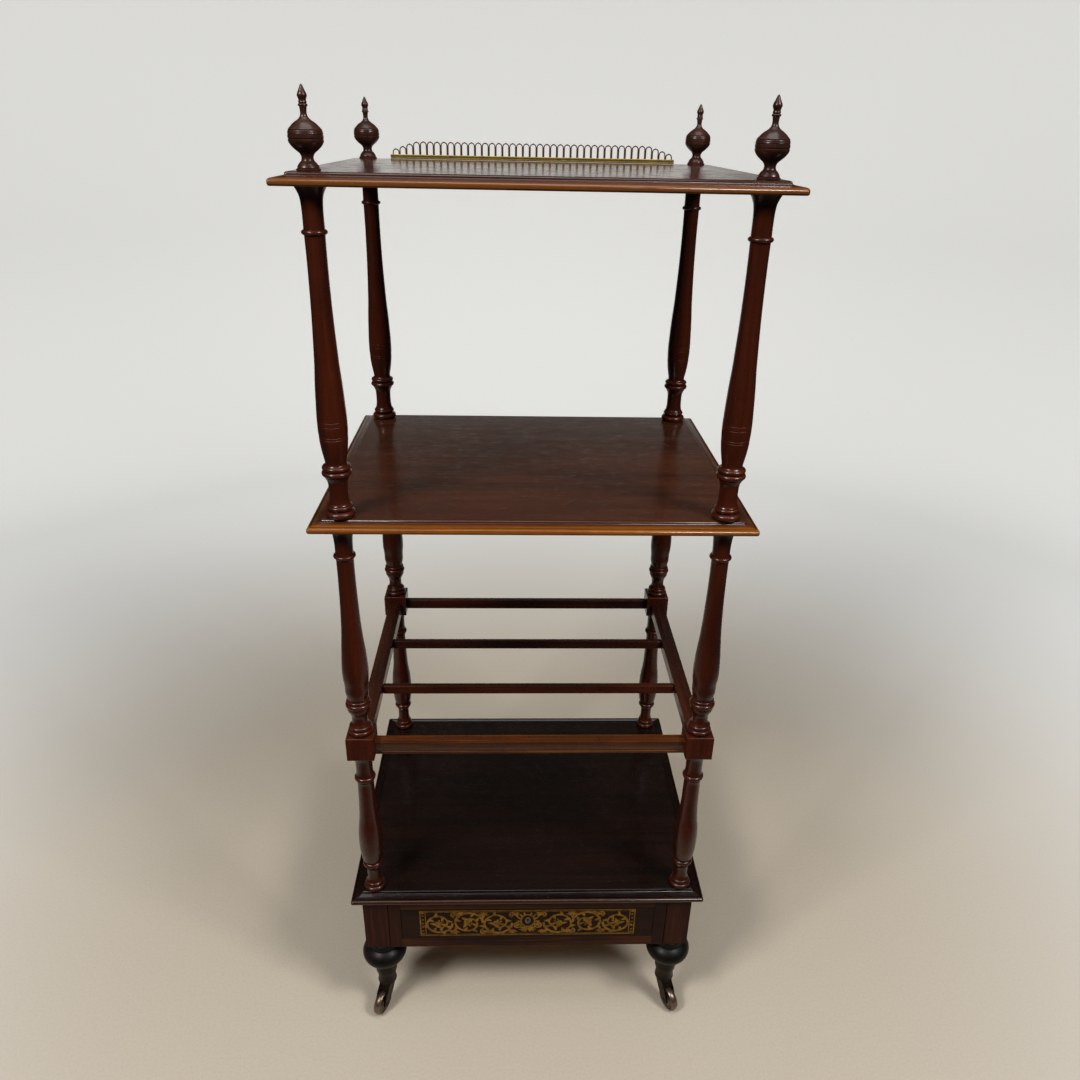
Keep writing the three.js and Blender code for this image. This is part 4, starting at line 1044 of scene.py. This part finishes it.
# Upper posts: balusters turned of mahogany, with two beads at the foot, a full belly with four scored
# lines and a long neck with one ring. A dowel at each end holds them in the shelves.
upper_turning = [
    (0, 15.4), (4.2, 18.1, 8.2), (12.4, 15.3, 5.5), (16, 13.4), (18.3, 12.2), (24.2, 11.3), (30, 11.1),
    (36.6, 11.1), (42, 11.4), (46, 12.2), (49.5, 13.9), (51.6, 15), (55.6, 17.7, 7), (62.5, 16.8, 5.4),
    (66.4, 12.9), (68, 12.4), (72, 12.8), (78, 13.9), (86, 15.2), (93, 16), (97, 16.35),
    (98.8, 16.4, -1.1), (101.8, 16.5, -1.1), (104, 16.6), (108, 16.85), (113, 16.95),
    (114.4, 16.95, -1.1), (119.9, 16.95, -1.1), (121.6, 16.95), (128, 16.75), (136, 16.4), (150, 15.8),
    (166, 14.9), (182, 13.7), (200, 12.9), (218, 12.15), (238, 11.5), (262, 11), (290, 10.7),
    (312, 10.8), (317.6, 10.9), (321.6, 13.6, 5), (325.6, 11), (338, 10.9), (348, 11.2), (355, 12),
    (359.5, 13.4), (363.5, 15.4), (366.5, 17.2),
]
upper_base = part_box("middle_shelf")[1].z
for tag, place in post_places.items():
    points = [(0, 0)] + outline(upper_turning) + [(upper_turning[-1][0], 0)]
    post = placed(turned(points), Matrix.Translation(place + Vector((0, 0, upper_base))))
    fitted(f"baluster_{tag}", post, post_wood, "mahogany", "frame", f"upper_post_{tag}")


# Top shelf: the same moulded board of mahogany again, over the dowels of the balusters, and bored at
# its corners for the finials and along its back for the gallery.
shelf_board(
    "top", (4, 2, 7), tone(66, 34, 21), tone(46, 23, 15), tone(84, 46, 28), bare=tone(106, 60, 18),
    nose=(9 * mm, 0.8, 0.2), gloss=0.15, coat=0.25, dust=0.3,
)


# Finials: mahogany urns, each turned with a bell foot, a bulb scored about its middle and a small bud
# on top. A dowel goes through the shelf into the post below.
finial_turning = [
    (0, 12.1), (1.8, 12.2), (3, 11, -0.8), (4.8, 10.4), (7.5, 8.5), (9.4, 6.6), (12.5, 5.9), (14.5, 6.5),
    (16.5, 7.8), (19, 10.9), (21.5, 13.7), (24, 15.8), (26.6, 17.2), (28.2, 17.4), (29.2, 17.4, -1.2),
    (30.4, 17.5), (32.4, 17.4), (33.4, 17.4, -1.2), (34.6, 17.2), (36.4, 16.9), (37.2, 16.7, -1),
    (38.2, 16), (40.5, 13.8), (42.5, 11.8), (44.3, 9.5), (46, 6.8), (48.3, 4.4), (51, 3.3), (54, 3.2),
    (57, 3.6), (59, 4.7, 2.6), (61.4, 4.1), (63.5, 3.6), (65.6, 4.3), (67.4, 4.8), (69.4, 4.3),
    (71.6, 3.2), (74, 2.2), (76.4, 1.1), (77.5, 0),
]
finial_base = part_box("top_shelf")[1].z
finial_wood = mahogany(
    "finial mahogany", "z", (6, 2, 2), body=tone(54, 26, 15), dark=tone(30, 13, 8),
    light=tone(78, 42, 27), streak=0.3, turning=True, gloss=0.32, coat=0.15, shine=0.22,
)
for tag, place in post_places.items():
    points = [(0, 0)] + outline(finial_turning)
    finial = placed(turned(points, steps=32), Matrix.Translation(place + Vector((0, 0, finial_base))))
    fitted(f"urn_finial_{tag}", finial, finial_wood, "mahogany", "frame", f"finial_{tag}")


# Gallery: little cast arches soldered side by side on a moulded rail, dull and dark with age. Pins
# under the rail hold it in the back of the top shelf, and its arches drop in steps at both ends.
def brass_arch(pitch, wall, height, thickness):
    """One arch with a knob on its crown, standing at z = 0."""
    form = bmesh.new()
    outer = pitch / 2
    spring = height - outer
    ends = [form.verts.new((reach * mm, 0, spring * mm)) for reach in (outer - wall, outer)]
    edge = form.edges.new(ends)
    bmesh.ops.spin(
        form, geom=[*ends, edge], cent=(0, 0, spring * mm), axis=(0, -1, 0), angle=math.pi, steps=8,
    )
    feet = [
        edge for edge in form.edges
        if len(edge.link_faces) == 1
        and all(abs(vert.co.z - spring * mm) < 0.001 * mm for vert in edge.verts)
    ]
    legs = bmesh.ops.extrude_edge_only(form, edges=feet)["geom"]
    low = [part for part in legs if isinstance(part, bmesh.types.BMVert)]
    bmesh.ops.translate(form, verts=low, vec=(0, 0, -spring * mm))
    drawn_out(form, form.faces[:], (0, thickness * mm, 0))
    bmesh.ops.translate(form, verts=form.verts, vec=(0, -thickness / 2 * mm, 0))
    return form


gallery_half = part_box("gallery")[1].x
rail_foot = 0.4
rail_height = 5.6
arch_count = 41
arch_wall = 1.5
arch_height = 17.4
end_shares = (0.45, 0.63, 0.82, 0.97)
arch_thickness = 1.2
knob_radius = 0.75
strip_inset = 2.97
arch_pitch = 2 * (gallery_half / mm - strip_inset) / arch_count
rail_head = rail_foot + rail_height
gallery_middle = Matrix.Translation((0, post_y, finial_base))
arches = []
for place in range(arch_count):
    from_end = min(place, arch_count - 1 - place)
    share = end_shares[from_end] if from_end < len(end_shares) else 1
    x = (place - (arch_count - 1) / 2) * arch_pitch
    arch = brass_arch(arch_pitch, arch_wall, share * arch_height, arch_thickness)
    foot = Matrix.Translation((x * mm, 0, (rail_head - 0.4) * mm))
    arches.append(placed(arch, gallery_middle, foot))
    knob = bmesh.new()
    bmesh.ops.create_uvsphere(knob, u_segments=8, v_segments=5, radius=knob_radius * mm)
    crown = Matrix.Translation((x * mm, 0, (rail_head - 0.6 + share * arch_height) * mm))
    arches.append(placed(knob, gallery_middle, crown))
arch_brass = aged_brass(
    "gallery arch brass", tone(122, 84, 56), tone(66, 40, 29), tone(28, 17, 13), roughness=0.36,
    bare=0.3,
)
fitted("gallery_arches", joined(*arches), arch_brass, "gallery_brass", "frame", "gallery")
rail_front = -1.5
rail_back = 1.5
rail_section = [
    (rail_back, 0), (-1.2, 0), (rail_front, 0.5), (rail_front, 1.5), (-1.1, 1.9), (-1.1, 3.4),
    (rail_front, 3.8), (rail_front, 4.8), (-1.0, rail_height), (rail_back, rail_height),
]
rail = run([(y * mm, z * mm) for y, z in rail_section], -gallery_half, gallery_half, 0.15)
rail = placed(rail, gallery_middle, Matrix.Translation((0, 0, rail_foot * mm)))
rail_brass = aged_brass(
    "gallery rail brass", tone(148, 124, 62), tone(96, 82, 44), tone(40, 32, 18), roughness=0.36,
    bare=0.3,
)
fitted("gallery_rail", rail, rail_brass, "gallery_brass", "frame")


# Room: one turned sheet that sweeps from the floor up into the wall all round, plain and pale to the
# camera, and three soft lamps overhead. Its wall glows for the camera, and behind the whatnot in its
# polish too. To all other rays it is painted darker above, in front and at the sides, as painted shade.
def cove():
    """Floor and wall of the cove in one."""
    floor_radius = 3200
    sweep = 900
    wall_height = 4200
    points = [(0, 0), (0, 700), (0, floor_radius - sweep)]
    points += [(sweep + sweep * math.sin(turn), floor_radius - sweep + sweep * math.cos(turn))
               for turn in [math.pi / -2 + math.pi / 2 * step / 12 for step in range(1, 13)]]
    form = turned(points + [(wall_height, floor_radius)], steps=96)
    bmesh.ops.reverse_faces(form, faces=form.faces)
    for face in form.faces:
        face.smooth = True
    mesh = bpy.data.meshes.new("cove")
    form.to_mesh(mesh)
    form.free()
    return bpy.data.objects.new("cove", mesh)


room = cove()
bpy.context.collection.objects.link(room)
plaster = Finish("pale floor and wall", Roughness=0.9, Specular_IOR_Level=0.1, Emission_Strength=1.0)
span = plaster.node("ShaderNodeVectorMath", {"operation": "LENGTH"}, {0: plaster.place}, output="Value")
floor_grit = plaster.noise(240, detail=4.0, roughness=0.7)
floor_colour = plaster.mix(floor_grit.over(0.35, 0.7), tone(190, 179, 162), tone(184, 172, 154))
pale = plaster.mix(span.over(0.5, 2.2), floor_colour, tone(244, 244, 241))
above = plaster.along(2).over(1.5, 1.9)
before = plaster.along(1).over(-0.3, -0.8)
beside = abs(plaster.along(0)).over(0.6, 1.5)
# Painted shade: for every ray but the camera's, the wall is darker above 1.5 m, in front and to the
# sides, so the whatnot is lit by a dim room and mirrors it.
shaded = plaster.mix(above, pale, tone(100, 97, 90))
shaded = plaster.mix(before, shaded, tone(48, 46, 44))
shaded = plaster.mix(beside, shaded, tone(60, 58, 54))
seen = plaster.node("ShaderNodeLightPath", output="Is Camera Ray")
mirrored = plaster.node("ShaderNodeLightPath", output="Is Glossy Ray")
through = plaster.node("ShaderNodeLightPath", output="Is Transmission Ray")
shown = seen + (mirrored + through) * (1 - above) * (1 - before) * (1 - beside)
glow = plaster.mix(shown * span.over(0.8, 2.6), tone(0, 0, 0), tone(126, 126, 125))
room_paint = plaster.finished(Base_Color=plaster.mix(seen, shaded, pale), Emission_Color=glow)
room.data.materials.append(room_paint)
room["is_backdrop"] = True


def lamp(name, place, target, width, length, power, colour=(1, 1, 1)):
    """Soft rectangular lamp turned towards a point."""
    light = bpy.data.lights.new(name, "AREA")
    light.shape = "RECTANGLE"
    light.size = width
    light.size_y = length
    light.energy = power
    light.color = colour
    holder = bpy.data.objects.new(name, light)
    holder.location = place
    holder.rotation_euler = (Vector(target) - Vector(place)).to_track_quat("-Z", "Y").to_euler()
    bpy.context.collection.objects.link(holder)


middle = (0, 0, 0.7)
lamp("left lamp", (-1.5, -1.6, 2.8), middle, 0.7, 0.7, 62)
lamp("right lamp", (1.6, -1.4, 2.8), middle, 0.7, 0.7, 56)
lamp("overhead lamp", (0, -0.3, 3.1), middle, 1.6, 1.2, 26)
world = bpy.data.worlds.new("room light")
world.use_nodes = True
world.node_tree.nodes["Background"].inputs["Color"].default_value = (1, 0.98, 0.95, 1)
world.node_tree.nodes["Background"].inputs["Strength"].default_value = 0.2
bpy.context.scene.world = world

# Camera: held at the top shelf's height, looking down at the front from a little left of its middle.
# Its lens and place were solved from the stand's corners in the picture, 1080 by 1080 pixels.
picture_size = 1080
focal_pixels = 842.9
eye = Vector((-0.0273, -1.1215, 1.3159))
pan = 0.0370
tilt = -0.4548
lean = 0.021
camera = bpy.data.cameras.new("camera")
camera.sensor_width = 36
camera.lens = camera.sensor_width * focal_pixels / picture_size
viewer = bpy.data.objects.new("camera", camera)
viewer.matrix_world = (
    Matrix.Translation(eye) @ Matrix.Rotation(-pan, 4, "Z")
    @ Matrix.Rotation(math.pi / 2 + tilt, 4, "X") @ Matrix.Rotation(lean, 4, "Z")
)
bpy.context.collection.objects.link(viewer)
scene = bpy.context.scene
scene.camera = viewer
scene.view_settings.view_transform = "Standard"

low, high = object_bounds()
